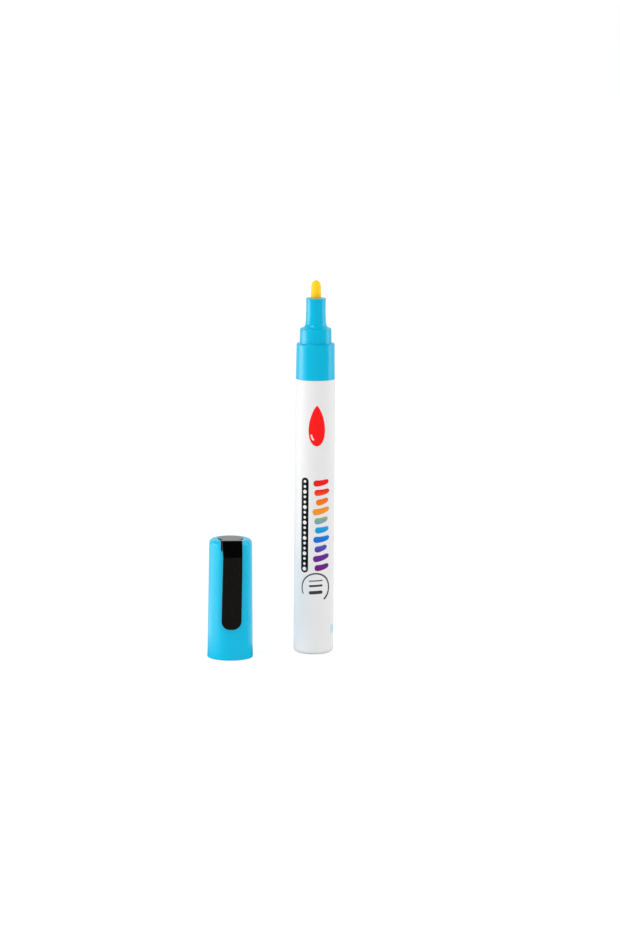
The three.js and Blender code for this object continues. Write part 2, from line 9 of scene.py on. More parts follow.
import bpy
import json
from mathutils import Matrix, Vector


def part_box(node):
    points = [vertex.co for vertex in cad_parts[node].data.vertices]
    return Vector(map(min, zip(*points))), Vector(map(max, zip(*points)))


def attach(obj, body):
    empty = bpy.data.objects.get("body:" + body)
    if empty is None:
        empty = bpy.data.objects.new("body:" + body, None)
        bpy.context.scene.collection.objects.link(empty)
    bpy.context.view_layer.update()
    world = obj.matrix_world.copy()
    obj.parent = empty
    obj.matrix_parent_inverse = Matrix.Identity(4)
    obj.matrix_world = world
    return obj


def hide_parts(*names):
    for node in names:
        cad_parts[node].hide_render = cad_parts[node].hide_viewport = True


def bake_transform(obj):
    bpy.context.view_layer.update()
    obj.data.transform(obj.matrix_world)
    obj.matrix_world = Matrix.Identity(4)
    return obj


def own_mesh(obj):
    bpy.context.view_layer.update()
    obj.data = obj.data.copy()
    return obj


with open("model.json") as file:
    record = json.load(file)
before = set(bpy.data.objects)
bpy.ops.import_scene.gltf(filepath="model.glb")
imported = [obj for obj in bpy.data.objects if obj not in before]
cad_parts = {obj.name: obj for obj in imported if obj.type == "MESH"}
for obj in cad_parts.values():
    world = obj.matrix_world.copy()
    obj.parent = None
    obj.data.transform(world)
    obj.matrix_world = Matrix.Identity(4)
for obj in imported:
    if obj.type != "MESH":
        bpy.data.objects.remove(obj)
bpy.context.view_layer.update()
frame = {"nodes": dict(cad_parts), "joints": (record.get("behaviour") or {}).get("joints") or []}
print("solids:", ", ".join(sorted(frame["nodes"])))

# %% [markdown]
# ## Units, and sizes read from the solids
#
# A marker is a small thing, so every size here is written in millimetres and turned into metres where
# a point is made. Sizes that a solid's box can tell are read from it, so this script follows the solids
# when they change. A box can't tell an inner step or a fillet, so those are written out beside the
# piece that has them. Points closer than `SAME_PLACE`, in metres, count as one. Three small helpers
# serve the whole script: a value between two others, a joint found by its name, and an object that is
# put into the scene.

# %% Units and boxes
import json
import math

import bmesh
import bpy
from mathutils import Matrix, Vector, noise

MM = 0.001
SAME_PLACE = 1e-7


def box_mm(node):
    """A solid's lowest and highest corner, in millimetres."""
    low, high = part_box(node)
    return low / MM, high / MM


def between(low, high, share):
    """The value at a share of the way from low to high."""
    return low + (high - low) * share


def joint_named(name):
    """What the frame says about a joint."""
    return next(joint for joint in frame["joints"] if joint["name"] == name)


def added(name, data):
    """A new object in the scene, which holds a mesh, a lamp or a camera."""
    thing = bpy.data.objects.new(name, data)
    bpy.context.scene.collection.objects.link(thing)
    return thing


barrel_high = box_mm("barrel")[1]
front_low, front_high = box_mm("front_section")
nib_low, nib_high = box_mm("nib")
barrel_radius = barrel_high.x
barrel_length = barrel_high.z
ring_radius = front_high.x
plug_bottom = front_low.z
nozzle_top = front_high.z
nib_radius = nib_high.x
nib_base = nib_low.z
nib_tip = nib_high.z
print(f"barrel {2 * barrel_radius:.1f} x {barrel_length:.1f} mm, nib tip at {nib_tip:.1f} mm")

# %% [markdown]
# The cap stands on its own axis and is turned a little, so that its clip looks past the camera. The
# middle of its box gives the axis. The hinge that stands for the clip's bending tells the rest: its own
# axis runs across the clip, and its place is on the clip's crease.

# %% Where the cap stands
cap_low, cap_high = box_mm("cap_shell")
cap_middle = (cap_low + cap_high) / 2
cap_mouth_radius = (cap_high.x - cap_low.x) / 2
cap_length = cap_high.z
clip_hinge = joint_named("clip_flex")
cap_side = -Vector(clip_hinge["axis"]).normalized()
cap_front = cap_side.cross(Vector((0, 0, 1)))
crease_height = clip_hinge["pos_m"][2] / MM


def on_cap(out, height, across=0.0):
    """A point in metres from its distance out towards the clip, its height and its place across."""
    flat = Vector((cap_middle.x, cap_middle.y, 0)) + out * cap_front + across * cap_side
    return Vector((flat.x, flat.y, height)) * MM


print(f"cap axis at {cap_middle.x:.2f}, {cap_middle.y:.2f} mm, crease at {crease_height:.1f} mm")

# %% [markdown]
# ## Writing shader maths as plain expressions
#
# A surface needs small sums, such as "a rough patch where two noises are both high". Built by hand,
# each sum is a chain of Math nodes. The class below wraps one output socket, so that an expression
# like `0.3 + 0.05 * grain` adds those nodes by itself. A Math node works on single values and would
# turn a colour grey, so colours go through `mixed`, and vectors through Vector Math.

# %% A wrapped socket and a board of nodes
class Signal:
    """One output socket of a board. Arithmetic on it adds Math nodes."""

    def __init__(self, board, socket):
        self.board = board
        self.socket = socket

    def _math(self, operation, *terms):
        return self.board.node("ShaderNodeMath", {"operation": operation}, dict(enumerate(terms)))

    def __add__(self, other):
        return self._math("ADD", self, other)

    def __radd__(self, other):
        return self._math("ADD", other, self)

    def __sub__(self, other):
        return self._math("SUBTRACT", self, other)

    def __rsub__(self, other):
        return self._math("SUBTRACT", other, self)

    def __mul__(self, other):
        return self._math("MULTIPLY", self, other)

    def __rmul__(self, other):
        return self._math("MULTIPLY", other, self)


class Board:
    """A node tree that is filled by short calls."""

    def __init__(self, tree):
        self.tree = tree
        tree.nodes.clear()

    def node(self, kind, settings=None, inputs=None, output=0):
        """Adds a node: its settings first, then the values and links of its sockets."""
        made = self.tree.nodes.new(kind)
        for name, value in (settings or {}).items():
            if name == "stops":
                self._set_stops(made.color_ramp, value)
            else:
                setattr(made, name, value)
        for key, value in (inputs or {}).items():
            if isinstance(value, Signal):
                self.tree.links.new(value.socket, made.inputs[key])
            else:
                made.inputs[key].default_value = value
        return Signal(self, made.outputs[output]) if made.outputs else None

    def _set_stops(self, ramp, stops):
        for index, (place, colour) in enumerate(stops):
            stop = ramp.elements[index] if index < 2 else ramp.elements.new(place)
            stop.position = place
            stop.color = colour

    def mixed(self, factor, first, second):
        """A colour between two colours."""
        return self.node(
            "ShaderNodeMix",
            {"data_type": "RGBA"},
            {"Factor": factor, 6: first, 7: second},
            output=2,
        )

    def part(self, vector, axis):
        """One coordinate of a vector: 0, 1 or 2 for x, y or z."""
        return self.node("ShaderNodeSeparateXYZ", None, {"Vector": vector}, output=axis)

    def ranged(self, value, from_low, from_high, to_low=0.0, to_high=1.0):
        """A value carried smoothly from one range to another, and held at its ends."""
        return self.node(
            "ShaderNodeMapRange",
            {"interpolation_type": "SMOOTHSTEP"},
            {
                "Value": value,
                "From Min": from_low,
                "From Max": from_high,
                "To Min": to_low,
                "To Max": to_high,
            },
        )


# %% [markdown]
# Every finish starts the same way: one Principled shader, with the plain numbers set on its own
# sockets, and the piece's own coordinates in millimetres, so that a grain of 0.1 mm is written as
# 0.1 mm and travels with the piece when it moves. Most finishes let one slow or fine noise change
# their colour and their roughness together, which `varied` does in one line.

# %% A finish for a surface
class Finish(Board):
    """A material with one Principled shader and coordinates in millimetres."""

    def __init__(self, name, **plain):
        self.material = bpy.data.materials.new(name)
        self.material.use_nodes = True
        super().__init__(self.material.node_tree)
        self.shader = self.tree.nodes.new("ShaderNodeBsdfPrincipled")
        surface = self.tree.nodes.new("ShaderNodeOutputMaterial")
        self.tree.links.new(self.shader.outputs["BSDF"], surface.inputs["Surface"])
        own = self.node("ShaderNodeTexCoord", output=3)
        self.place = self.node(
            "ShaderNodeVectorMath", {"operation": "SCALE"}, {0: own, "Scale": 1 / MM}
        )
        self.set(**plain)

    def set(self, **values):
        """Sets sockets of the shader, such as Base_Color, from a number, a colour or a signal."""
        for name, value in values.items():
            socket = self.shader.inputs[name.replace("_", " ")]
            if isinstance(value, Signal):
                self.tree.links.new(value.socket, socket)
            else:
                socket.default_value = value

    def grain(self, size, stretch=(1, 1, 1), detail=2.0):
        """Noise from 0 to 1, with spots about this many millimetres wide, drawn out by stretch."""
        drawn = self.node(
            "ShaderNodeVectorMath",
            {"operation": "DIVIDE"},
            {0: self.place, 1: [size * share for share in stretch]},
        )
        return self.node("ShaderNodeTexNoise", None, {"Vector": drawn, "Scale": 1.0, "Detail": detail})

    def height(self):
        """How far a point is up its own axis, in millimetres."""
        return self.part(self.place, 2)

    def varied(self, mask, tones, rough, spread):
        """Colour and roughness that change together, as mask goes from 0 to 1."""
        self.set(Base_Color=self.mixed(mask, *tones), Roughness=rough + spread * mask)

    def bumped(self, relief, depth):
        """Tilts the surface as if relief, from 0 to 1, were this many millimetres deep."""
        tilt = self.node(
            "ShaderNodeBump", None, {"Strength": 1.0, "Distance": depth * MM, "Height": relief}
        )
        self.set(Normal=tilt)


def colour(red, green, blue):
    """An opaque colour from three numbers in linear light."""
    return (red, green, blue, 1.0)


def scaled(tone, factor):
    """A colour that is lighter or darker by a factor."""
    return colour(*[min(1.0, factor * part) for part in tone[:3]])


print("shader helpers are ready")

# %% [markdown]
# ## White moulded tube
#
# The barrel is white polypropylene with an even gloss. Up close such a tube has long, very faint draw
# lines from the mould, and a slow waviness that makes reflections look poured and not ruled. Both go
# into a bump a few thousandths of a millimetre deep. The colour keeps a trace of warm and cool cloud,
# because a mathematically even white looks like paper.

# %% Finish of the barrel
PLASTIC_IOR = 1.49

white_barrel = Finish("white_barrel", IOR=PLASTIC_IOR, Specular_IOR_Level=0.3)
draw_lines = white_barrel.grain(0.35, stretch=(1, 1, 60))
waviness = white_barrel.grain(5.0, detail=1.0)
warmth = white_barrel.grain(9.0, detail=1.0)
whites = (colour(0.79, 0.79, 0.80), colour(0.82, 0.815, 0.81))
white_barrel.set(
    Base_Color=white_barrel.mixed(warmth, *whites),
    Roughness=0.3 + 0.05 * draw_lines,
)
white_barrel.bumped(0.2 * draw_lines + waviness, depth=0.006)
print("finish:", white_barrel.material.name)

# %% [markdown]
# ## Cyan mouldings
#
# The front section and the cap are the same cyan plastic with two textures. The front section left a
# polished mould: sharp gloss, with a trace of orange peel. The cap left a finely blasted mould, so its
# highlights are wide and soft, and it came out a shade paler. One function makes both. The colour
# drifts a little in slow clouds, as pigment does when it isn't stirred to the last.

# %% Finishes of the cyan pieces
CLOUD_SHARE = 0.95


def cyan_plastic(name, tone, rough, grain_size, grain_depth):
    """A cyan plastic with a tone, a roughness, and a mould grain of a width and a depth."""
    finish = Finish(name, IOR=PLASTIC_IOR, Specular_IOR_Level=0.38)
    cloud = finish.grain(6.0, detail=2.0)
    grain = finish.grain(grain_size, detail=3.0)
    finish.set(
        Base_Color=finish.mixed(cloud, tone, scaled(tone, CLOUD_SHARE)),
        Roughness=rough + 0.08 * grain,
    )
    finish.bumped(grain + 0.5 * cloud, grain_depth)
    print("finish:", name)
    return finish


front_tone = colour(0.0, 0.485, 0.74)
cap_tone = colour(0.0, 0.528, 0.81)
cyan_gloss = cyan_plastic("cyan_gloss", front_tone, rough=0.14, grain_size=1.6, grain_depth=0.006)
cyan_satin = cyan_plastic("cyan_satin", cap_tone, rough=0.2, grain_size=0.16, grain_depth=0.012)

# %% [markdown]
# ## Black clip
#
# The clip is black plastic, polished on its head and faintly textured down its arm. Black shows almost
# nothing of its own colour, so all the work is in the reflections: their sharpness and small breaks.

# %% Finishes of the clip
BLACK_RELIEF = 0.003
HANDLED_SHARE = 1.3


def black_plastic(name, tone, rough, grain_size, shine):
    """Black plastic with a tone, a roughness, a mould grain, and how strongly it mirrors."""
    finish = Finish(name, IOR=PLASTIC_IOR, Specular_IOR_Level=shine)
    grain = finish.grain(grain_size, detail=3.0)
    handled = finish.grain(2.5, stretch=(1, 1, 2.5))
    finish.varied(handled, (tone, scaled(tone, HANDLED_SHARE)), rough, spread=0.06)
    finish.bumped(grain, BLACK_RELIEF)
    print("finish:", name)
    return finish


head_tone = colour(0.0006, 0.0005, 0.0005)
arm_tone = colour(0.0072, 0.0063, 0.0056)
black_gloss = black_plastic("black_gloss", head_tone, rough=0.1, grain_size=1.4, shine=0.56)
black_satin = black_plastic("black_satin", arm_tone, rough=0.24, grain_size=0.1, shine=0.35)

# %% [markdown]
# ## Pressed fibre
#
# The nib is a bullet of pressed polyester fibre that holds yellow paint. Fibres run along it, so its
# grain is drawn out upwards, with pores between the bundles. Towards the nozzle's mouth its colour
# turns deeper and its surface a little glossier, and the dome is the palest part.

# %% Finish of the nib
PALE_ABOVE = 2.2
DEEP_BELOW = 0.4
DEEP_SHARE = 0.75

nib_fibre = Finish("nib_fibre", IOR=1.45, Specular_IOR_Level=0.22)
fibres = nib_fibre.grain(0.12, stretch=(1, 1, 9), detail=4.0)
pores = nib_fibre.grain(0.3, stretch=(1, 1, 1.6), detail=3.0)
# The colour turns deeper and the surface glossier towards the nozzle's mouth.
deepening = nib_fibre.ranged(nib_fibre.height(), nozzle_top + PALE_ABOVE, nozzle_top - DEEP_BELOW)
upper_yellow = nib_fibre.mixed(pores, colour(1.0, 0.58, 0.01), colour(1.0, 0.69, 0.02))
deep_yellow = colour(0.98, 0.42, 0.008)
nib_fibre.set(
    Base_Color=nib_fibre.mixed(DEEP_SHARE * deepening, upper_yellow, deep_yellow),
    Roughness=0.5 - 0.15 * deepening,
)
nib_fibre.bumped(0.6 * fibres + 0.4 * pores, depth=0.03)
print("finish:", nib_fibre.material.name)

# %% [markdown]
# ## Printed inks
#
# The print on the barrel is screen-printed: opaque, slightly glossy ink with a fine mesh texture.
# One function makes each plain ink. The long row of dabs runs through the colours of a paint range
# from top to bottom, so its ink takes its colour from the height on the barrel.

# %% Inks
INK_GRAIN = 0.09
INK_RELIEF = 0.002
INK_ROUGH = 0.3
INK_SPREAD = 0.12
THIN_FACTOR = 1.08
THIN_LIFT = 0.004


def bare_ink(name):
    """An ink without a colour yet, and the fine pattern that the screen leaves in it, from 0 to 1."""
    finish = Finish(name, IOR=1.5, Specular_IOR_Level=0.25)
    pattern = finish.grain(INK_GRAIN, detail=3.0)
    finish.bumped(pattern, INK_RELIEF)
    return finish, pattern


def ink_finish(name, tone):
    """An opaque ink of one colour, slightly paler where the pattern leaves it thin."""
    finish, pattern = bare_ink(name)
    thin = colour(*[min(1.0, THIN_FACTOR * part + THIN_LIFT) for part in tone[:3]])
    finish.varied(pattern, (tone, thin), INK_ROUGH, INK_SPREAD)
    return finish


red_ink = ink_finish("red_ink", colour(1.0, 0.0, 0.0))
black_ink = ink_finish("black_ink", colour(0.003, 0.003, 0.003))
grey_ink = ink_finish("grey_ink", colour(0.045, 0.045, 0.047))
white_ink = ink_finish("white_ink", colour(0.78, 0.78, 0.78))
pale_ink = ink_finish("pale_ink", colour(0.47, 0.70, 0.84))
print("plain inks: red, black, grey, white, pale blue")

# %% [markdown]
# The ramp's stops are places up the row of dabs, from its foot at 0 to its top at 1.

# %% Ink of the dabs
DABS_LOW = 30.3
DABS_HIGH = 64.0
RANGE_STOPS = [
    (0.02, colour(0.18, 0.008, 0.22)),
    (0.20, colour(0.13, 0.02, 0.33)),
    (0.33, colour(0.0, 0.16, 0.68)),
    (0.47, colour(0.0, 0.38, 0.74)),
    (0.56, colour(0.28, 0.40, 0.22)),
    (0.63, colour(0.95, 0.30, 0.006)),
    (0.76, colour(0.95, 0.16, 0.004)),
    (0.86, colour(0.90, 0.01, 0.006)),
    (1.0, colour(0.88, 0.0, 0.006)),
]

range_ink, range_pattern = bare_ink("range_ink")
along = range_ink.node(
    "ShaderNodeMapRange",
    None,
    {"Value": range_ink.height(), "From Min": DABS_LOW, "From Max": DABS_HIGH},
)
paint_range = range_ink.node("ShaderNodeValToRGB", {"stops": RANGE_STOPS}, {"Fac": along})
range_ink.set(Base_Color=paint_range, Roughness=INK_ROUGH + INK_SPREAD * range_pattern)
print("ink of the dabs has", len(RANGE_STOPS), "stops")

# %% [markdown]
# ## Finishes of the pieces inside
#
# The valve, the inner cap, the spring and the ball stay the plain solids. They still get finishes of
# their own, because they show when the marker is taken apart: natural polyethylene, soft black rubber,
# drawn steel wire and a polished steel ball.

# %% Finishes of the inner pieces
natural_plastic = Finish("natural_plastic", IOR=1.51, Subsurface_Weight=0.1, Subsurface_Scale=0.002)
cloud = natural_plastic.grain(2.0, detail=3.0)
milky = (colour(0.80, 0.80, 0.77), colour(0.84, 0.84, 0.82))
natural_plastic.varied(cloud, milky, rough=0.42, spread=0.1)
natural_plastic.bumped(cloud, depth=0.01)

seal_rubber = Finish("seal_rubber", IOR=1.5)
dust = seal_rubber.grain(0.2, detail=4.0)
sooty = (colour(0.012, 0.012, 0.013), colour(0.03, 0.03, 0.03))
seal_rubber.varied(dust, sooty, rough=0.6, spread=0.2)
seal_rubber.bumped(dust, depth=0.01)

spring_steel = Finish("spring_steel", Metallic=1.0)
drawn = spring_steel.grain(0.15, stretch=(1, 1, 3), detail=3.0)
grey_steel = (colour(0.50, 0.51, 0.53), colour(0.62, 0.62, 0.63))
spring_steel.varied(drawn, grey_steel, rough=0.22, spread=0.18)

ball_steel = Finish("ball_steel", Metallic=1.0)
wear = ball_steel.grain(0.5, detail=5.0)
bright_steel = (colour(0.60, 0.61, 0.63), colour(0.68, 0.68, 0.69))
ball_steel.varied(wear, bright_steel, rough=0.06, spread=0.08)
print("inner finishes are ready")

# %% [markdown]
# ## From a profile to a turned piece
#
# Nearly every part of a marker is round, so it is a profile turned about an axis. A Screw modifier
# could do that, but a short loop is clearer and gives control over each ring. A profile is a list of
# (radius, height) points. Round edges are arcs in it, because a real moulding has no knife edge, and
# the small arcs catch the light.

# %% Arcs and rings
SIDES = 192
ROUND_STEPS = 8
ON_AXIS = 1e-6


def arc(centre, radius, start, end, steps=ROUND_STEPS, height=None):
    """Points of an arc from one angle to another, in degrees, with both ends."""
    rise = radius if height is None else height
    angles = [math.radians(start + (end - start) * step / steps) for step in range(steps + 1)]
    return [(centre[0] + radius * math.cos(a), centre[1] + rise * math.sin(a)) for a in angles]


def ridge(radius, height, stand, width):
    """A shallow bead or groove on a wall, from low to high."""
    return [(radius, height - width / 2), (radius + stand, height), (radius, height + width / 2)]


def eased(low, high, steps=12):
    """Points on the way from low to high, whose radius settles early. The first is left out."""
    points = []
    for step in range(1, steps + 1):
        share = step / steps
        settled = 1 - (1 - share) ** 2
        points.append((between(low[0], high[0], settled), between(low[1], high[1], share)))
    return points


def turned(profile, around=(0.0, 0.0), sides=SIDES, loop=False):
    """A mesh turned from a profile in millimetres. A loop closes on itself and stays off the axis."""
    bm = bmesh.new()
    rings = []
    for radius, height in profile:
        if radius < ON_AXIS:
            rings.append([bm.verts.new(Vector((*around, height)) * MM)] * sides)
        else:
            ring = []
            for side in range(sides):
                angle = 2 * math.pi * side / sides
                x = around[0] + radius * math.cos(angle)
                y = around[1] + radius * math.sin(angle)
                ring.append(bm.verts.new(Vector((x, y, height)) * MM))
            rings.append(ring)
    for low, high in zip(rings, rings[1:] + rings[:1] if loop else rings[1:]):
        join_rings(bm, low, high)
    return bm


def join_rings(bm, low, high, columns=None):
    """Faces between two rings, for all columns or some of them."""
    count = len(low)
    for column in range(count) if columns is None else columns:
        after = (column + 1) % count
        corners = list(dict.fromkeys([low[column], low[after], high[after], high[column]]))
        if len(corners) > 2:
            bm.faces.new(corners)


# %% [markdown]
# A mesh becomes a piece in one place. Its faces are turned outwards, and it is shaded smooth with crisp
# edges where two faces meet at more than 30 degrees. Weighted normals then keep the large flat faces
# flat right up to their rounded edges. The piece is hung on the body that carries it, and it stands
# for the solids that it replaces.

# %% From a mesh to a piece
SHARP_ANGLE = math.radians(30)


def mesh_of(bm, name):
    """A Blender mesh with its faces turned outwards."""
    bmesh.ops.recalc_face_normals(bm, faces=bm.faces)
    mesh = bpy.data.meshes.new(name)
    bm.to_mesh(mesh)
    bm.free()
    return mesh


def placed(name, mesh, finish=None):
    """An object with a smooth-shaded mesh and its finish, or the finishes that the mesh has already."""
    mesh.shade_smooth()
    mesh.set_sharp_from_angle(angle=SHARP_ANGLE)
    piece = added(name, mesh)
    if finish:
        mesh.materials.append(finish.material)
    piece.modifiers.new("flat_faces", "WEIGHTED_NORMAL").keep_sharp = True
    return piece


def carried(piece, body, replaces=()):
    """The piece rides on a body and stands for the solids that it replaces."""
    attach(piece, body)
    if replaces:
        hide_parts(*replaces)
    print(f"{piece.name}: {len(piece.data.polygons)} faces on {body}")


def united(mesh, others):
    """One closed mesh from a mesh and others that reach into it."""
    base = added("base", mesh)
    helpers = []
    for index, other in enumerate(others):
        helper = added(f"addition_{index}", other)
        step = base.modifiers.new(helper.name, "BOOLEAN")
        step.operation = "UNION"
        step.solver = "EXACT"
        step.object = helper
        helpers.append(helper)
    bpy.context.view_layer.update()
    whole = bpy.data.meshes.new_from_object(
        base.evaluated_get(bpy.context.evaluated_depsgraph_get())
    )
    for helper in [base, *helpers]:
        bpy.data.objects.remove(helper)
    return whole


def open_edges(mesh):
    """How many edges don't have exactly two faces. A closed mesh has none."""
    bm = bmesh.new()
    bm.from_mesh(mesh)
    count = sum(not edge.is_manifold for edge in bm.edges)
    bm.free()
    return count


# %% [markdown]
# ## The barrel
#
# The barrel is one moulding: a tube with a closed foot. Its profile runs from the middle of the foot,
# round the foot's edge, up the outside, over the rim and down the bore to the floor inside.

# %% The barrel
BARREL_WALL = 0.95
BARREL_FLOOR = 1.6
FOOT_ROUND = 1.7
RIM_ROUND = 0.15
INNER_ROUND = 1.2
SNAP_DEPTH = 4.5
SNAP_HEIGHT = 0.22
GROOVE_WIDTH = 1.02
barrel_bore = barrel_radius - BARREL_WALL
snap_height = barrel_length - SNAP_DEPTH

barrel_profile = [
    (0.0, 0.0),
    *arc((barrel_radius - FOOT_ROUND, FOOT_ROUND), FOOT_ROUND, -90, 0, steps=12),
    *arc((barrel_radius - RIM_ROUND, barrel_length - RIM_ROUND), RIM_ROUND, 0, 90, steps=4),
    (barrel_bore, barrel_length),
    *reversed(ridge(barrel_bore, snap_height, SNAP_HEIGHT, GROOVE_WIDTH)),
    *arc((barrel_bore - INNER_ROUND, BARREL_FLOOR + INNER_ROUND), INNER_ROUND, 0, -90),
    (0.0, BARREL_FLOOR),
]
barrel_tube = placed("barrel_tube", mesh_of(turned(barrel_profile), "barrel_tube"), white_barrel)
carried(barrel_tube, "marker", ["barrel"])

# %% [markdown]
# ## The front section
#
# This is the piece that the hand sees as the marker's neck: a wide ring that the cap grips, a narrower
# step that the inner cap seals on, a hollow flare and a slim nozzle with a faint lip. Its plug and its
# bores are hidden. Six ribs inside the nozzle centre the nib and leave room for paint between them.

# %% Sizes of the front section
RING_PROUD = 0.12
RING_TOP_RADIUS = 6.78
RING_HEIGHT = 12.6
RING_ROUND = 0.4
STEP_LOW_RADIUS = 5.68
STEP_HIGH_RADIUS = 5.57
STEP_HEIGHT = 5.35
STEP_ROUND = 0.4
CREVICE = 0.1
FLARE_REACH = 1.55
FLARE_HEIGHT = 2.0
NOZZLE_LOW_RADIUS = 3.66
NOZZLE_HIGH_RADIUS = 3.46
NOZZLE_EASE = 4.85
LIP_HEIGHT = 1.15
LIP_STAND = 0.09
LIP_ROUND = 0.25
PLUG_CLEARANCE = 0.06
PLUG_WALL = 1.1
PLUG_LEAD = 0.4
SNAP_WIDTH = 0.9
ring_outside = ring_radius + RING_PROUD
ring_top = barrel_length + RING_HEIGHT
step_top = ring_top + STEP_HEIGHT
plug_radius = barrel_bore - PLUG_CLEARANCE
chamber_radius = plug_radius - PLUG_WALL
print(f"ring to {ring_top:.1f}, step to {step_top:.1f}, nozzle to {nozzle_top:.1f} mm")

# %% [markdown]
# The nozzle's side isn't straight: it leaves the flare a little wide and eases into its upper radius.

# %% Outside of the front section
lip_radius = NOZZLE_HIGH_RADIUS + LIP_STAND
lip_bottom = nozzle_top - LIP_HEIGHT
flare_top = step_top + FLARE_HEIGHT
flare_middle = (NOZZLE_LOW_RADIUS + FLARE_REACH, flare_top)
front_outside = [
    (plug_radius - PLUG_LEAD, plug_bottom),
    (plug_radius, plug_bottom + PLUG_LEAD),
    *ridge(plug_radius, snap_height, SNAP_HEIGHT, SNAP_WIDTH),
    (plug_radius, barrel_length),
    *arc((ring_outside - CREVICE, barrel_length + CREVICE), CREVICE, -90, 0, steps=3),
    *arc((RING_TOP_RADIUS - RING_ROUND, ring_top - RING_ROUND), RING_ROUND, 0, 90),
    *reversed(arc((STEP_LOW_RADIUS + CREVICE, ring_top + CREVICE), CREVICE, 180, 270, steps=3)),
    *arc((STEP_HIGH_RADIUS - STEP_ROUND, step_top - STEP_ROUND), STEP_ROUND, 0, 80),
    *arc(flare_middle, FLARE_REACH, 270, 180, steps=16, height=FLARE_HEIGHT),
    *eased((NOZZLE_LOW_RADIUS, flare_top), (NOZZLE_HIGH_RADIUS, flare_top + NOZZLE_EASE)),
    (NOZZLE_HIGH_RADIUS, lip_bottom),
    *arc((lip_radius - LIP_STAND, lip_bottom + LIP_STAND), LIP_STAND, -30, 0, steps=3),
    *arc((lip_radius - LIP_ROUND, nozzle_top - LIP_ROUND), LIP_ROUND, 0, 90, steps=6),
]
print("outside of the front section:", len(front_outside), "points")

# %% [markdown]
# The bores widen downwards in steps, so that one core could draw out of the mould. The ribs are thin
# fins that bite into the wall, and they become one piece with it.

# %% Bores and ribs of the front section
NIB_CLEARANCE = 0.1
MOUTH_CHAMFER = 0.18
COLLAR_LENGTH = 1.9
CONE_LENGTH = 0.9
CHANNEL_DEPTH = 0.72
SEAT_HEIGHT = 105.0
WELL_RADIUS = 3.55
WELL_LENGTH = 7.0
RIBS = 6
RIB_WIDTH = 0.55
RIB_BITE = 0.15
guide_radius = nib_radius + NIB_CLEARANCE
channel_radius = guide_radius + CHANNEL_DEPTH
collar_bottom = nozzle_top - COLLAR_LENGTH
well_top = SEAT_HEIGHT + WELL_LENGTH
front_bores = [
    (guide_radius + MOUTH_CHAMFER, nozzle_top),
    (guide_radius, nozzle_top - MOUTH_CHAMFER),
    (guide_radius, collar_bottom),
    (channel_radius, collar_bottom - CONE_LENGTH),
    (channel_radius, well_top + CONE_LENGTH),
    (WELL_RADIUS, well_top),
    (WELL_RADIUS, SEAT_HEIGHT),
    (chamber_radius, SEAT_HEIGHT),
    (chamber_radius, plug_bottom),
]


def fin(side_view, angle, width, around=(0.0, 0.0)):
    """A flat fin that stands off an axis: a side view of (radius, height) points with a width."""
    bm = bmesh.new()
    out = Vector((math.cos(angle), math.sin(angle), 0))
    across = Vector((-math.sin(angle), math.cos(angle), 0))
    faces = []
    for offset in (-width / 2, width / 2):
        verts = []
        for radius, height in side_view:
            point = Vector((*around, height)) + radius * out + offset * across
            verts.append(bm.verts.new(point * MM))
        faces.append(verts)
    bm.faces.new(faces[0])
    bm.faces.new(list(reversed(faces[1])))
    join_rings(bm, faces[0], faces[1])
    return bm


guide_view = [
    (channel_radius + RIB_BITE, well_top + CONE_LENGTH),
    (channel_radius + RIB_BITE, collar_bottom),
    (guide_radius, collar_bottom),
    (guide_radius, well_top + CONE_LENGTH + CHANNEL_DEPTH),
]
guide_ribs = [
    mesh_of(fin(guide_view, 2 * math.pi * rib / RIBS, RIB_WIDTH), "guide_rib") for rib in range(RIBS)
]
front_mesh = united(mesh_of(turned(front_outside + front_bores, loop=True), "front"), guide_ribs)
print("open edges of the front section:", open_edges(front_mesh))

front_moulding = placed("front_moulding", front_mesh, cyan_gloss)
carried(front_moulding, "marker", ["front_section"])

# %% [markdown]
# ## The nib
#
# The nib's outline is a bullet, but its surface is pressed fibre and never quite even. A turned mesh
# with many rings gives the outline, and each point above the nozzle is then drawn inwards by a few
# hundredths of a millimetre, along streaks that follow the fibres. The finish adds the finer grain.

# %% The nib
NIB_TIP_RADIUS = 1.75
NIB_DOME = 2.35
NIB_TAPER = 2.2
NIB_EDGE = 0.2
NIB_SIDES = 144
FIBRE_DEPTH = 0.035
FIBRE_WIDTH = 0.28
FIBRE_LENGTH = 1.7
FIBRE_OCTAVES = 3
FIBRE_ROUGHNESS = 0.8
FIBRE_STEP = 2.0
SIDE_RINGS = 28
dome_height = nib_tip - NIB_DOME
taper_start = dome_height - NIB_TAPER


def nib_side():
    """The nib's taper, in even rings up to the dome."""
    points = []
    for step in range(SIDE_RINGS):
        share = step / SIDE_RINGS
        points.append((between(nib_radius, NIB_TIP_RADIUS, share), taper_start + NIB_TAPER * share))
    return points


def fibre_dip(place):
    """How deep the surface lies at a place, from 0 to 1, in streaks along the fibres."""
    streak = Vector((place.x / FIBRE_WIDTH, place.y / FIBRE_WIDTH, place.z / FIBRE_LENGTH))
    dip = 0.5 + 0.5 * noise.fractal(streak, FIBRE_ROUGHNESS, FIBRE_STEP, FIBRE_OCTAVES)
    return min(1.0, max(0.0, dip))


nib_profile = [
    (0.0, nib_base),
    (nib_radius - NIB_EDGE, nib_base),
    (nib_radius, nib_base + NIB_EDGE),
    *nib_side(),
    *arc((0.0, dome_height), NIB_TIP_RADIUS, 0, 89, steps=26, height=NIB_DOME),
    (0.0, nib_tip),
]
nib_bm = turned(nib_profile, sides=NIB_SIDES)
nib_bm.normal_update()
for vert in nib_bm.verts:
    place = vert.co / MM
    if place.z > taper_start:
        vert.co -= vert.normal * FIBRE_DEPTH * MM * fibre_dip(place)
nib_bullet = placed("nib_bullet", mesh_of(nib_bm, "nib_bullet"), nib_fibre)
carried(nib_bullet, "nib_plunger", ["nib"])

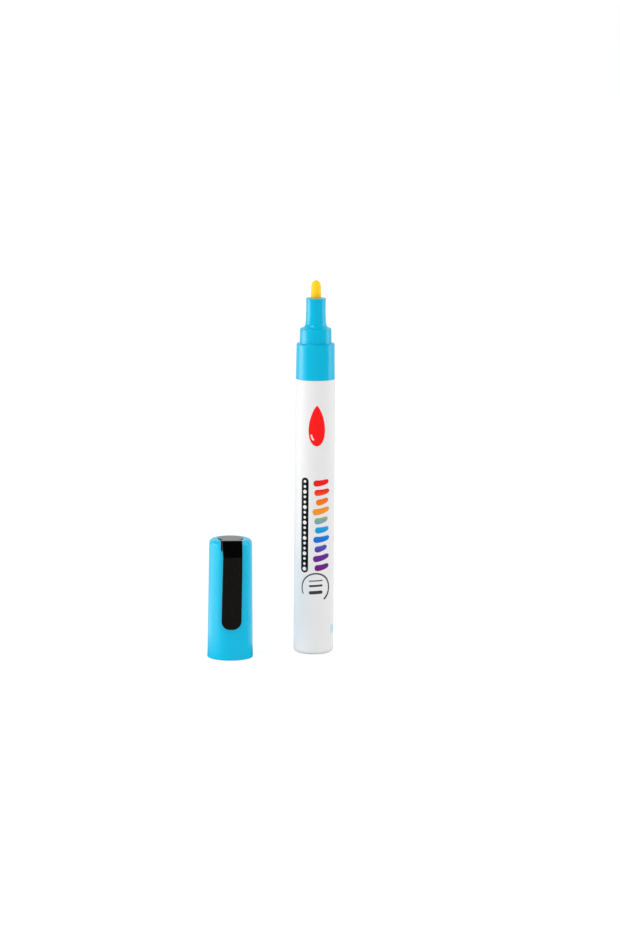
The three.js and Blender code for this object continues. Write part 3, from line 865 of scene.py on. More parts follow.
# %% [markdown]
# ## The cap
#
# The cap is turned as well, but its rim has a notch with parallel walls, where the clip's neck leaves
# it. Cutting the notch with a boolean would leave slivers in the round edge. Here the columns of the
# turned mesh slide sideways a little instead, so that two of them lie exactly on the notch's walls at
# every radius. The faces between them are left out above the notch's floor, and two flat walls and a
# floor close the gap. The clip's plate stands a hair above the rim.

# %% Sizes of the cap
CAP_LOW_RADIUS = 8.0
CAP_FLARE_HEIGHT = 5.0
CAP_HIGH_RADIUS = 7.6
CAP_TOP_ROUND = 1.65
PLATE_STAND = 0.22
CAP_RIM_ROUND = 0.25
CAP_FIT = 0.12
CAP_WALL = 1.15
CAP_ROOF = 1.1
BEAD_RISE = 6.0
BEAD_HEIGHT = 0.07
BEAD_WIDTH = 1.2
RECESS_RADIUS = 4.55
RECESS_DEPTH = 3.85
RECESS_EDGE = 0.1
NOTCH_DEPTH = 3.7
NOTCH_HALF = 3.79
NOTCH_EDGE = 0.08
POST_HOLE_RADIUS = 1.62
recess_floor = cap_length - RECESS_DEPTH
notch_floor = cap_length - NOTCH_DEPTH
roof_under = recess_floor - CAP_ROOF
cap_top = cap_length - PLATE_STAND
bore_at_mouth = ring_outside + CAP_FIT
bore_at_ring = RING_TOP_RADIUS + CAP_FIT
bore_at_roof = CAP_HIGH_RADIUS - CAP_WALL


def cap_radius_at(height):
    """The cap's outer radius on its straight side."""
    share = (height - CAP_FLARE_HEIGHT) / (cap_length - CAP_TOP_ROUND - CAP_FLARE_HEIGHT)
    return between(CAP_LOW_RADIUS, CAP_HIGH_RADIUS, share)


print(f"cap {2 * cap_mouth_radius:.1f} x {cap_length:.1f} mm, notch floor at {notch_floor:.1f} mm")

# %% [markdown]
# The profile is a loop: the rim, the flared foot, the long taper, the round shoulder, the recess, the
# roof with its post hole, and the bore with its snap bead. Two of its points lie at the height of the
# notch's floor, one outside and one in the recess.

# %% Profile of the cap
bore_at_bead = between(bore_at_mouth, bore_at_ring, BEAD_RISE / RING_HEIGHT)
cap_rim = arc((cap_mouth_radius - CAP_RIM_ROUND, CAP_RIM_ROUND), CAP_RIM_ROUND, -90, 0, steps=5)
outer_notch_point = (cap_radius_at(notch_floor), notch_floor)
inner_notch_point = (RECESS_RADIUS, notch_floor)
cap_profile = [
    *cap_rim,
    *eased((cap_mouth_radius, CAP_RIM_ROUND), (CAP_LOW_RADIUS, CAP_FLARE_HEIGHT)),
    outer_notch_point,
    *arc((CAP_HIGH_RADIUS - CAP_TOP_ROUND, cap_top - CAP_TOP_ROUND), CAP_TOP_ROUND, 0, 90, steps=14),
    *arc((RECESS_RADIUS + RECESS_EDGE, cap_top - RECESS_EDGE), RECESS_EDGE, 90, 180, steps=3),
    inner_notch_point,
    (RECESS_RADIUS, recess_floor),
    (POST_HOLE_RADIUS, recess_floor),
    (POST_HOLE_RADIUS, roof_under),
    (bore_at_roof, roof_under),
    (bore_at_ring, RING_HEIGHT),
    *reversed(ridge(bore_at_bead, BEAD_RISE, -BEAD_HEIGHT, BEAD_WIDTH)),
    (bore_at_mouth, CAP_RIM_ROUND),
    (bore_at_mouth + CAP_RIM_ROUND, 0.0),
]
print("cap profile:", len(cap_profile), "points")

# %% [markdown]
# Every ring of the cap shares out its columns in the same way: the first ones lie evenly between the
# notch's two walls, and the rest go evenly round the other side. The rings inside the recess are too
# small to reach the notch, so they take over the columns of the recess's own wall.

# %% Columns that follow the notch
NOTCH_COLUMNS = 32


def cap_ring(bm, radius, height):
    """One ring of the cap, whose first and last notch columns lie on the notch's walls."""
    half = math.asin(NOTCH_HALF / max(radius, RECESS_RADIUS))
    rest = SIDES - NOTCH_COLUMNS
    angles = [half * (2 * column / NOTCH_COLUMNS - 1) for column in range(NOTCH_COLUMNS)]
    angles += [half + 2 * (math.pi - half) * column / rest for column in range(rest)]
    return [
        bm.verts.new(on_cap(radius * math.cos(angle), height, radius * math.sin(angle)))
        for angle in angles
    ]


def notched_cap():
    """The cap's wall with its notch, as a closed mesh."""
    bm = bmesh.new()
    rings = [cap_ring(bm, radius, height) for radius, height in cap_profile]
    outer = cap_profile.index(outer_notch_point)
    inner = cap_profile.index(inner_notch_point)
    for index, ring in enumerate(rings):
        after = rings[(index + 1) % len(rings)]
        notched = outer <= index < inner
        join_rings(bm, ring, after, range(NOTCH_COLUMNS, SIDES) if notched else None)
    join_rings(bm, rings[outer], rings[inner], range(NOTCH_COLUMNS))
    walls = []
    for column in (0, NOTCH_COLUMNS):
        walls.append(bm.faces.new([ring[column] for ring in rings[outer:inner + 1]]))
    bmesh.ops.recalc_face_normals(bm, faces=bm.faces)
    floor = notch_floor * MM + SAME_PLACE
    rims = {edge for wall in walls for edge in wall.edges if max(v.co.z for v in edge.verts) > floor}
    bmesh.ops.bevel(
        bm, geom=list(rims), offset=NOTCH_EDGE * MM, segments=3, profile=0.5, affect="EDGES"
    )
    return bm


cap_mesh = mesh_of(notched_cap(), "cap_moulding")
print("open edges of the cap:", open_edges(cap_mesh))

# %% [markdown]
# Six long ribs inside the cap grip the inner cap. They are the same kind of fin as the nozzle's ribs.

# %% Ribs of the cap
CAP_RIBS = 6
CAP_RIB_WIDTH = 0.8
LINER_GAP = 0.1
LINER_TUBE_RADIUS = 4.75
LINER_SHOULDER = 20.75
cap_turn = math.atan2(cap_side.y, cap_side.x)
rib_low = LINER_SHOULDER + LINER_GAP
share_up = (rib_low - RING_HEIGHT) / (roof_under - RING_HEIGHT)
bore_at_rib = between(bore_at_ring, bore_at_roof, share_up)
cap_rib_view = [
    (LINER_TUBE_RADIUS + LINER_GAP, rib_low),
    (bore_at_rib + RIB_BITE, rib_low),
    (bore_at_roof + RIB_BITE, roof_under + RIB_BITE),
    (LINER_TUBE_RADIUS + LINER_GAP, roof_under + RIB_BITE),
]
cap_ribs = []
for rib in range(CAP_RIBS):
    angle = cap_turn + 2 * math.pi * rib / CAP_RIBS
    cap_fin = fin(cap_rib_view, angle, CAP_RIB_WIDTH, around=(cap_middle.x, cap_middle.y))
    cap_ribs.append(mesh_of(cap_fin, "cap_rib"))
cap_moulding = placed("cap_moulding", united(cap_mesh, cap_ribs), cyan_satin)
print("open edges with the ribs:", open_edges(cap_moulding.data))
carried(cap_moulding, "cap", ["cap_shell"])

# %% [markdown]
# ## The clip
#
# The real clip is one moulding: a round plug in the cap's top, a neck that slopes out through the
# notch, and a long arm that springs. Neck and arm are built as a ribbon that follows the clip's side
# view. Each row of the ribbon has a half width, a point on the outer face and a point on the inner
# face. Drawing the outline in while moving into the depth rounds all its edges, also round the arm's
# foot. The real arm hangs about a degree askew, as a thin moulding does, so its middle line is shifted
# a little too.

# %% Sizes of the clip
CLIP_CLEARANCE = 0.15
CLIP_PLATE = 1.5
CLIP_SKIRT_WALL = 0.9
CLIP_EDGE = 0.15
POST_RADIUS = 1.5
POST_REACH = 0.9
POST_BARB = 0.2
POST_CLEARANCE = 0.12
CREASE_GAP = 0.12
CLIP_TOP_REACH = 6.2
CLIP_GAP = 0.76
CLIP_THICKNESS = 1.1
NECK_HALF = 3.66
NECK_SHIFT = 0.09
CLIP_HIGH_HALF = 3.43
CLIP_LOW_HALF = 3.55
CREASE_SHIFT = 0.28
FOOT_SHIFT = -0.15
CLIP_DROP = 31.25
CLIP_CORNER = 3.05
CLIP_ROUND = 0.22
ROOT_REACH = 3.4
CORNER_CUT = 0.3
ROW_STEP = 0.5
TIP_STEPS = 24
crease_radius = cap_radius_at(crease_height) + CLIP_GAP + CLIP_THICKNESS
arm_foot = cap_length - CLIP_DROP
arm_length = crease_height - arm_foot
arm_lean = math.atan2(cap_radius_at(arm_foot) - cap_radius_at(crease_height), arm_length)
arm_down = Vector((math.sin(arm_lean), -math.cos(arm_lean)))
arm_inward = Vector((-math.cos(arm_lean), -math.sin(arm_lean)))
neck_under = notch_floor + CREASE_GAP
print(f"arm {arm_length:.1f} mm long, leaning {math.degrees(arm_lean):.2f} degrees")

# %% [markdown]
# The outer line has two corners, at the top plate's edge and at the crease. Both are rounded by a short
# curve, which on black plastic is the only place that shines.

# %% Rows of the ribbon
def curve_through(before, corner, after, steps=4):
    """Points of a short curve that rounds a corner."""
    points = []
    for step in range(steps + 1):
        share = step / steps
        points.append(before.lerp(corner, share).lerp(corner.lerp(after, share), share))
    return points


def neck_rows():
    """Pairs of an outer and an inner point, from inside the plug to just below the crease."""
    top = Vector((CLIP_TOP_REACH, cap_length))
    crease = Vector((crease_radius, crease_height))
    slope = (crease - top).normalized()
    inner_corner = Vector((cap_radius_at(neck_under) + CREASE_GAP, neck_under))
    inner_crease = crease + CLIP_THICKNESS * arm_inward
    root = Vector((ROOT_REACH, cap_length))
    over_top = curve_through(top - Vector((CORNER_CUT, 0)), top, top + CORNER_CUT * slope)
    over_crease = curve_through(crease - CORNER_CUT * slope, crease, crease + CORNER_CUT * arm_down)
    rows = [(root, Vector((ROOT_REACH, neck_under)))]
    for index, point in enumerate(over_top):
        share = index / len(over_top)
        rows.append((point, Vector((point.x, neck_under)).lerp(inner_corner, 0.5 * share)))
    rows.append((top.lerp(crease, 0.5), inner_corner))
    for index, point in enumerate(over_crease):
        share = index / (len(over_crease) - 1)
        start = inner_crease - CORNER_CUT * slope
        rows.append((point, start.lerp(inner_crease + CORNER_CUT * arm_down, share)))
    return rows


def share_to_crease(height):
    """How far a height is on the way from the plate, at 0, down to the crease, at 1."""
    return min(1.0, (cap_length - height) / (cap_length - crease_height))


def quarter_turn(steps):
    """Sine and cosine at even steps from 0 to 90 degrees."""
    angles = [math.radians(90 * step / steps) for step in range(steps + 1)]
    return [(math.sin(angle), math.cos(angle)) for angle in angles]


def clip_rows(inset):
    """Half width, outer point and inner point of each row, with the outline drawn in by inset."""
    rows = []
    for outer, inner in neck_rows():
        half = between(NECK_HALF, CLIP_HIGH_HALF, share_to_crease(outer.y))
        rows.append((half - inset, outer, inner))
    crease = Vector((crease_radius, crease_height))
    straight = arm_length - CLIP_CORNER
    count = round((straight - CORNER_CUT) / ROW_STEP)
    places = []
    for step in range(1, count + 1):
        down = CORNER_CUT + (straight - CORNER_CUT) * step / count
        places.append((between(CLIP_HIGH_HALF, CLIP_LOW_HALF, down / straight) - inset, down))
    round_radius = CLIP_CORNER - inset
    for sine, cosine in quarter_turn(TIP_STEPS)[1:]:
        half = CLIP_LOW_HALF - CLIP_CORNER + round_radius * cosine
        places.append((half, straight + round_radius * sine))
    for half, down in places:
        outer = crease + down * arm_down
        rows.append((half, outer, outer + CLIP_THICKNESS * arm_inward))
    return rows


# %% [markdown]
# A level is a closed line round the ribbon, at one depth and one inset. The levels start at the outer
# face, go round its edge, down the side, round the inner edge and end on the inner face.

# %% The ribbon's mesh
EDGE_STEPS = 4
HEAD_SLOT = 0
ARM_SLOT = 1


def clip_levels():
    """Inset, depth from the outer face or None, and depth from the inner face or None."""
    levels = []
    for sine, cosine in quarter_turn(EDGE_STEPS):
        levels.append((CLIP_ROUND * (1 - sine), CLIP_ROUND * (1 - cosine), None))
    for sine, cosine in quarter_turn(EDGE_STEPS):
        levels.append((CLIP_ROUND * (1 - cosine), None, CLIP_ROUND * (1 - sine)))
    return levels


def clip_shift(height):
    """How far the clip's middle line stands to the right of the cap's own at a height."""
    if height > crease_height:
        return between(NECK_SHIFT, CREASE_SHIFT, share_to_crease(height))
    return between(CREASE_SHIFT, FOOT_SHIFT, (crease_height - height) / arm_length)


def clip_ribbon():
    """The neck and the arm as one closed mesh. Faces above the crease have the first finish."""
    bm = bmesh.new()
    loops = []
    for inset, from_outer, from_inner in clip_levels():
        left, right = [], []
        for half, outer, inner in clip_rows(inset):
            if from_inner is None:
                point = outer + from_outer * (inner - outer).normalized()
            else:
                point = inner + from_inner * (outer - inner).normalized()
            shift = clip_shift(outer.y)
            left.append(bm.verts.new(on_cap(point.x, point.y, shift - half)))
            right.append(bm.verts.new(on_cap(point.x, point.y, shift + half)))
        loops.append((left, right))
    for (left, right), (next_left, next_right) in zip(loops, loops[1:]):
        join_rings(bm, left + right[::-1], next_left + next_right[::-1])
    for left, right in (loops[0], loops[-1]):
        for row in range(len(left) - 1):
            bm.faces.new([left[row], right[row], right[row + 1], left[row + 1]])
    for face in bm.faces:
        on_arm = face.calc_center_median().z < crease_height * MM
        face.material_index = ARM_SLOT if on_arm else HEAD_SLOT
    return bm


ribbon_mesh = mesh_of(clip_ribbon(), "clip_ribbon")
print("open edges of the ribbon:", open_edges(ribbon_mesh))

# %% [markdown]
# The plug is turned about the cap's axis: a plate, a skirt that sits in the recess, and a post with a
# barb that snaps through the roof. A small flattened ball inside the arm's tip is the pip that holds
# a pocket's edge. A close second ring inside the plate's edge keeps the plate's shading flat. Plug,
# ribbon and pip are then made one mesh, as the moulding is.

# %% Plug, pip and the whole clip
PIP_RISE = 3.2
PIP_RADIUS = 1.3
PIP_GAP = 0.12
FLAT_MARGIN = 0.06
PLUG_SIDES = 160
plug_outer = RECESS_RADIUS - CLIP_CLEARANCE
skirt_bore = plug_outer - CLIP_SKIRT_WALL
plate_under = cap_length - CLIP_PLATE
barb_top = roof_under - POST_CLEARANCE
plug_profile = [
    (0.0, roof_under - POST_REACH),
    (POST_RADIUS - POST_BARB, roof_under - POST_REACH),
    (POST_RADIUS + POST_BARB, barb_top - POST_BARB),
    (POST_RADIUS + POST_BARB, barb_top),
    (POST_RADIUS, barb_top),
    (POST_RADIUS, plate_under),
    (skirt_bore, plate_under),
    (skirt_bore, recess_floor + CREASE_GAP),
    (plug_outer, recess_floor + CREASE_GAP),
    *arc((plug_outer - CLIP_EDGE, cap_length - CLIP_EDGE), CLIP_EDGE, 0, 90, steps=4),
    (plug_outer - CLIP_EDGE - FLAT_MARGIN, cap_length),
    (0.0, cap_length),
]


def sort_faces(bm):
    """Put the faces in the order of their points. A new sphere's come in another order each run."""
    bm.verts.index_update()
    ordered = sorted(bm.faces, key=lambda face: sorted(vert.index for vert in face.verts))
    for index, face in enumerate(ordered):
        face.index = index
    bm.faces.sort()


def clip_pip():
    """A flattened ball on the arm's inner face, near its foot."""
    pip = bmesh.new()
    bmesh.ops.create_uvsphere(pip, u_segments=32, v_segments=16, radius=1.0)
    sort_faces(pip)
    down = arm_length - PIP_RISE
    middle = Vector((crease_radius, crease_height)) + down * arm_down + CLIP_THICKNESS * arm_inward
    for vert in pip.verts:
        flat = vert.co * PIP_RADIUS
        stand = vert.co.y * (CLIP_GAP - PIP_GAP)
        point = middle + flat.z * arm_down + stand * arm_inward
        vert.co = on_cap(point.x, point.y, clip_shift(middle.y) + flat.x)
    for face in pip.faces:
        face.material_index = ARM_SLOT
    return pip


plug_bm = turned(plug_profile, around=(cap_middle.x, cap_middle.y), sides=PLUG_SIDES)
plug_mesh = mesh_of(plug_bm, "clip_plug")
pip_mesh = mesh_of(clip_pip(), "clip_pip")
for mesh in (plug_mesh, ribbon_mesh, pip_mesh):
    for finish in (black_gloss, black_satin):
        mesh.materials.append(finish.material)
clip_mesh = united(plug_mesh, [ribbon_mesh, pip_mesh])
clip_moulding = placed("clip_moulding", clip_mesh)
print("open edges of the clip:", open_edges(clip_mesh))

# %% [markdown]
# The solids hold the clip as two pieces with a hinge at the crease. The real one has no hinge: its arm
# bends over its first few millimetres. The places where that bend starts, just above the crease, and
# ends, a little way down the arm, are worked out here. The one mesh is baked in place, and the clip's
# two solids are hidden.

# %% Where the clip would bend, and its solids hidden
BEND_ABOVE = 0.3
BEND_BELOW = 3.0
bend_start = on_cap(crease_radius, crease_height + BEND_ABOVE)
bend_end = on_cap(crease_radius, crease_height - BEND_BELOW)
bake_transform(clip_moulding)
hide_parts("clip_head", "clip_arm")
print(f"{clip_moulding.name}: {len(clip_mesh.polygons)} faces between cap and clip")

# %% [markdown]
# ## The print
#
# The barrel carries a plain print of no maker: a red paint drop, a row of dabs through a range of
# colours, a black bar of white dots, an open ring round sample lines, and a pale patch at the side.
# Ink could be painted by the barrel's own material, but its edges would then only be as sharp as the
# pictures that a material is exported to. Real ink is a film on top of the plastic, so each colour is
# made as a thin curved film, a few hundredths of a millimetre thick.

# %% Films of ink round the barrel
INK_PROUD = 0.018
INK_SUNK = 0.03
NO_LENGTH = 1e-8


def on_barrel(around, height, proud):
    """A point on the barrel from its distance round from the front, in millimetres."""
    angle = around / barrel_radius
    radius = barrel_radius + proud
    return Vector((radius * math.sin(angle), -radius * math.cos(angle), height)) * MM


def film(bm, rows, proud):
    """One closed film from rows of (around, height) points, all rows equally long."""
    faces = []
    for stand in (proud, -INK_SUNK):
        faces.append([[bm.verts.new(on_barrel(*point, stand)) for point in row] for row in rows])
    last_row = len(rows) - 1
    last = len(rows[0]) - 1
    for side in faces:
        for row in range(last_row):
            for column in range(last):
                bm.faces.new([
                    side[row][column],
                    side[row][column + 1],
                    side[row + 1][column + 1],
                    side[row + 1][column],
                ])
    rim = [(0, column) for column in range(last)]
    rim += [(row, last) for row in range(last_row)]
    rim += [(last_row, column) for column in range(last, 0, -1)]
    rim += [(row, 0) for row in range(last_row, 0, -1)]
    join_rings(bm, *[[side[row][column] for row, column in rim] for side in faces])


def printed(name, motifs, finish, proud=INK_PROUD):
    """A piece made of films, one for each motif, that rides on the marker."""
    bm = bmesh.new()
    for rows in motifs:
        film(bm, rows, proud)
    bmesh.ops.remove_doubles(bm, verts=bm.verts, dist=SAME_PLACE)
    bmesh.ops.dissolve_degenerate(bm, dist=NO_LENGTH, edges=bm.edges)
    carried(placed(name, mesh_of(bm, name), finish), "marker")


# %% [markdown]
# Most motifs are a stroke: a middle line with a width that changes along it. A stroke's rows run across
# it, and its round ends come from rows that shrink like a half circle. Each row keeps a trace of
# width, so that no face is empty before the points at its ends are joined. A stroke's direction at a
# share is measured over a nudge to both sides.

# %% Strokes and dots
ACROSS = 12
TRACE = 1e-4
NUDGE = 1e-4
LONG_STEPS = 160


def stroke(line, half_width, steps=40):
    """Rows of a stroke along line(share), whose half width at a share is half_width(share)."""
    rows = []
    for step in range(steps + 1):
        share = step / steps
        here = Vector(line(share))
        ahead = Vector(line(min(1.0, share + NUDGE))) - Vector(line(max(0.0, share - NUDGE)))
        side = Vector((-ahead.y, ahead.x)).normalized() * half_width(share)
        rows.append([tuple(here + side * (2 * column / ACROSS - 1)) for column in range(ACROSS + 1)])
    return rows


def round_ended(half, length):
    """A half width that is even, with round ends on a stroke of this length."""
    end = half / length

    def at(share):
        nearest = min(share, 1 - share, end) / end
        return half * math.sqrt(max(0.0, 1 - (1 - nearest) ** 2)) + TRACE

    return at


def dot(around, height, radius):
    """Rows of a round dot."""
    rows = []
    for step in range(ACROSS + 1):
        angle = math.pi * step / ACROSS
        half = radius * math.sin(angle) + TRACE
        rise = radius * math.cos(angle)
        rows.append([(around + half * (2 * c / ACROSS - 1), height + rise) for c in range(ACROSS + 1)])
    return rows


# %% [markdown]
# The drop is a teardrop. Its half width is a square root, which rounds the foot, times a power of the
# share that is left above, which draws the point. Its glint is a short curved stroke of white ink.

# %% The drop and its glint
DROP_AROUND = 0.7
DROP_LOW = 75.2
DROP_HIGH = 89.7
DROP_HALF = 3.0
DROP_SWELL = 2.37
DROP_POINT = 0.8
GLINT_PROUD = 0.03
GLINT_START = 185
GLINT_SWEEP = 55
GLINT_REACH = 2.0
GLINT_RISE = 2.6
GLINT_MIDDLE = 4.4
GLINT_HALF = 0.28
GLINT_LENGTH = 2.0


def drop_up(share):
    """A share of the drop's height, in steps that are finer at its round foot."""
    return 1 - math.cos(share * math.pi / 2)


def drop_line(share):
    return (DROP_AROUND, between(DROP_LOW, DROP_HIGH, drop_up(share)))


def drop_width(share):
    up = drop_up(share)
    return DROP_HALF * DROP_SWELL * math.sqrt(max(0.0, up)) * (1 - up) ** DROP_POINT + TRACE


def glint_line(share):
    angle = math.radians(GLINT_START + GLINT_SWEEP * share)
    rise = GLINT_MIDDLE + GLINT_RISE * math.sin(angle)
    return (DROP_AROUND + GLINT_REACH * math.cos(angle), DROP_LOW + rise)


glint = stroke(glint_line, round_ended(GLINT_HALF, GLINT_LENGTH), steps=24)
printed("print_drop", [stroke(drop_line, drop_width, steps=64)], red_ink)
printed("print_glint", [glint], white_ink, GLINT_PROUD)

# %% [markdown]
# The dabs are short brush marks, slanted and slightly bent. They differ a little in length and slant,
# by a rule and not by chance, so that the row looks painted and still comes out the same every time.

# %% The dabs
DABS = 10
DABS_AROUND = 2.75
DAB_REACH = 2.8
DAB_HALF = 1.2
DAB_RISE = 0.55
DAB_BEND = 0.28
DAB_THINNING = 0.32
REACH_SWAY = 0.45
REACH_BEAT = 2.4
SHIFT_SWAY = 0.25
SHIFT_BEAT = 1.7
RISE_SWAY = 0.18
RISE_BEAT = 1.3


def dab(index):
    """One brush mark of the row, counted from its foot."""
    pitch = (DABS_HIGH - DABS_LOW) / DABS
    middle = DABS_LOW + pitch * (index + 0.5)
    reach = DAB_REACH + REACH_SWAY * math.sin(REACH_BEAT * index)
    shift = SHIFT_SWAY * math.cos(SHIFT_BEAT * index)
    rise = DAB_RISE + RISE_SWAY * math.sin(RISE_BEAT * index)
    even = round_ended(DAB_HALF, 2 * reach)

    def line(share):
        along = 2 * share - 1
        bend = DAB_BEND * (1 - along * along)
        return (DABS_AROUND + shift + reach * along, middle + rise * along - bend)

    return stroke(line, lambda share: even(share) * (1 - DAB_THINNING * share))


printed("print_dabs", [dab(index) for index in range(DABS)], range_ink)

# %% [markdown]
# The black bar is one straight stroke, and its white dots are a second film on top of it.

# %% The bar and its dots
BAR_AROUND = -3.5
BAR_HALF = 1.4
BAR_LOW = 29.7
BAR_HIGH = 63.9
BAR_DOTS = 18
DOT_RADIUS = 0.62
BIG_DOT = 1.15
SMALL_DOT = 0.8
BIG_EVERY = 3
first_dot = BAR_LOW + BAR_HALF
last_dot = BAR_HIGH - BAR_HALF


def bar_line(share):
    return (BAR_AROUND, between(BAR_LOW, BAR_HIGH, share))


bar = stroke(bar_line, round_ended(BAR_HALF, BAR_HIGH - BAR_LOW), steps=LONG_STEPS)
dots = []
for index in range(BAR_DOTS):
    height = first_dot + (last_dot - first_dot) * index / (BAR_DOTS - 1)
    factor = SMALL_DOT if index % BIG_EVERY else BIG_DOT
    dots.append(dot(BAR_AROUND, height, DOT_RADIUS * factor))
printed("print_bar", [bar], black_ink)
printed("print_dots", dots, white_ink, GLINT_PROUD)

# %% [markdown]
# Below the bar is an open ring, drawn like a pen stroke that thins out, round three sample lines of
# growing thickness. Each sample is given by its height on the barrel and its half width.

# %% The ring and its sample lines
RING_AROUND = 0.75
RING_MIDDLE = 24.3
RING_LINE_RADIUS = 5.15
RING_THICK = 0.34
RING_THIN = 0.2
RING_START = 305
RING_SWEEP = 262
SAMPLE_REACH = 2.5
SAMPLE_RISE = 0.3
SAMPLES = [(26.7, 0.2), (24.9, 0.36), (22.5, 0.6)]


def ring_line(share):
    angle = math.radians(RING_START + RING_SWEEP * share)
    return (
        RING_AROUND + RING_LINE_RADIUS * math.cos(angle),
        RING_MIDDLE + RING_LINE_RADIUS * math.sin(angle),
    )


def ring_width(share):
    length = math.radians(RING_SWEEP) * RING_LINE_RADIUS
    return round_ended(between(RING_THICK, RING_THIN, share), length)(share)


def sample_line(height):
    """A level line inside the ring, with a slight rise."""
    return lambda share: (RING_AROUND + SAMPLE_REACH * (2 * share - 1), height + SAMPLE_RISE * share)


samples = [
    stroke(sample_line(height), round_ended(half, 2 * SAMPLE_REACH)) for height, half in SAMPLES
]
printed("print_ring", [stroke(ring_line, ring_width, steps=LONG_STEPS), *samples], grey_ink)

# %% [markdown]
# The patch sits low on the right, where the barrel turns away, so only its edge shows from the front.

# %% The patch
PATCH_AROUND = 7.35
PATCH_WIDTH = 4.0
PATCH_LOW = 7.3
PATCH_HEIGHT = 3.1


def patch_line(share):
    return (PATCH_AROUND + PATCH_WIDTH * share, PATCH_LOW + PATCH_HEIGHT / 2)


printed("print_patch", [stroke(patch_line, lambda share: PATCH_HEIGHT / 2)], pale_ink)

# %% [markdown]
# ## Pieces inside
#
# The inner pieces stay as they were loaded. Their facets are joined and shaded smooth by two modifiers,
# which leave the solids' own points alone: one welds the corners of neighbouring facets, and the other
# keeps an edge crisp only where the facets meet at more than 30 degrees.

# %% Smooth the inner solids
FACET_WELD = 1e-6


def smooth_by_angle():
    """A node group that shades a mesh smooth, with crisp edges at a sharp angle."""
    group = bpy.data.node_groups.new("smooth_by_angle", "GeometryNodeTree")
    group.interface.new_socket("Geometry", in_out="INPUT", socket_type="NodeSocketGeometry")
    group.interface.new_socket("Geometry", in_out="OUTPUT", socket_type="NodeSocketGeometry")
    board = Board(group)
    source = board.node("NodeGroupInput")
    angle = board.node("GeometryNodeInputMeshEdgeAngle")
    crisp = board.node("ShaderNodeMath", {"operation": "GREATER_THAN"}, {0: angle, 1: SHARP_ANGLE})
    shaded = board.node(
        "GeometryNodeSetMeshNormal",
        {"mode": "SHARPNESS"},
        {"Mesh": source, "Remove Custom": True, "Edge Sharpness": crisp, "Face Sharpness": False},
    )
    board.node("NodeGroupOutput", None, {"Geometry": shaded})
    return group


smoothing = smooth_by_angle()
inner_finishes = {
    "valve_housing": natural_plastic,
    "valve_base": natural_plastic,
    "valve_stem": natural_plastic,
    "cap_liner": natural_plastic,
    "valve_seal": seal_rubber,
    "valve_spring": spring_steel,
    "mixing_ball": ball_steel,
}
for name, finish in inner_finishes.items():
    solid = frame["nodes"][name]
    solid.material_slots[0].material = finish.material
    solid.modifiers.new("join_facets", "WELD").merge_threshold = FACET_WELD
    solid.modifiers.new("shade", "NODES").node_group = smoothing
print("inner pieces:", ", ".join(inner_finishes))

# %% [markdown]
# Pressing the nib squeezes the spring against its base. The share of its length that the spring keeps
# then is worked out, and the spring is given a mesh of its own.

# %% How far the spring is squeezed
nib_press = joint_named("nib_press")
spring_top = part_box("valve_spring")[1].z
spring_foot = nib_press["deforming_nodes"][0]["fixed_end_z_m"]
spring_keep = 1 - nib_press["range_m"][1] / (spring_top - spring_foot)
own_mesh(frame["nodes"]["valve_spring"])
print(f"the spring keeps {spring_keep:.2f} of its length when the nib is pressed")

# %% [markdown]
# ## The camera
#
# The photograph was taken with a long lens from more than a metre away, a little above the object. The
# focal length and place below were worked out from the outlines of the barrel and the cap. The focal
# length is written in pixels of a picture 930 pixels high, and the sensor's long side is upright.

# %% The camera
PICTURE_HEIGHT_PX = 930
FOCAL_PX = 3900
SENSOR = 36.0
CAMERA_PLACE = Vector((-1.657, -1365.4, 290.4)) * MM
CAMERA_DOWN = math.radians(9.278)
CAMERA_ROLL = math.radians(0.4424)
NEAREST = 0.05
FARTHEST = 50.0


def studio_camera():
    """The camera, turned down towards the object and rolled by a fraction of a degree."""
    data = bpy.data.cameras.new("studio_camera")
    data.sensor_width = SENSOR
    data.lens = FOCAL_PX * SENSOR / PICTURE_HEIGHT_PX
    data.clip_start = NEAREST
    data.clip_end = FARTHEST
    camera = added("studio_camera", data)
    forward = Vector((0, math.cos(CAMERA_DOWN), -math.sin(CAMERA_DOWN)))
    side = Vector((1, 0, 0))
    rise = side.cross(forward)
    across = math.cos(CAMERA_ROLL) * side + math.sin(CAMERA_ROLL) * rise
    upward = math.cos(CAMERA_ROLL) * rise - math.sin(CAMERA_ROLL) * side
    turn = Matrix((across, upward, -forward)).transposed().to_4x4()
    camera.matrix_world = Matrix.Translation(CAMERA_PLACE) @ turn
    return camera


bpy.context.scene.camera = studio_camera()
print(f"lens {bpy.context.scene.camera.data.lens:.1f} mm")

# %% [markdown]
# ## Light
#
# The photograph's own reflections tell where its lights were. The gloss pieces have a bright column far
# to the left, so a strip light stands level with them, straight to the left. A fainter column to the
# right tells of a white card there. The rounded edges shine at their upper left, so a softbox hangs
# above and to the left, and it is the one that shades the barrel from left to right. Between these
# columns the gloss is dark, so the room in front of the object was dim. The strip whitens the barrel's
# left side as well. Blender gives a lamp of 4 watts a square metre a radiance of 1.

# %% Lamps
MIDDLE = Vector((-14, 0, 66)) * MM
WATTS_PER_AREA = 4


def light_panel(name, azimuth, elevation, distance, size, radiance):
    """A rectangular lamp aimed at the object. Azimuth 0 is the camera's side, and 90 is the right."""
    data = bpy.data.lights.new(name, "AREA")
    data.shape = "RECTANGLE"
    data.size = size[0] * MM
    data.size_y = size[1] * MM
    data.energy = WATTS_PER_AREA * radiance * data.size * data.size_y
    lamp = added(name, data)
    round_about = math.radians(azimuth)
    upward = math.radians(elevation)
    level = Vector((math.sin(round_about), -math.cos(round_about), 0))
    towards = level * math.cos(upward) + Vector((0, 0, math.sin(upward)))
    lamp.location = MIDDLE + towards * distance * MM
    lamp.rotation_euler = towards.to_track_quat("Z", "Y").to_euler()
    return lamp


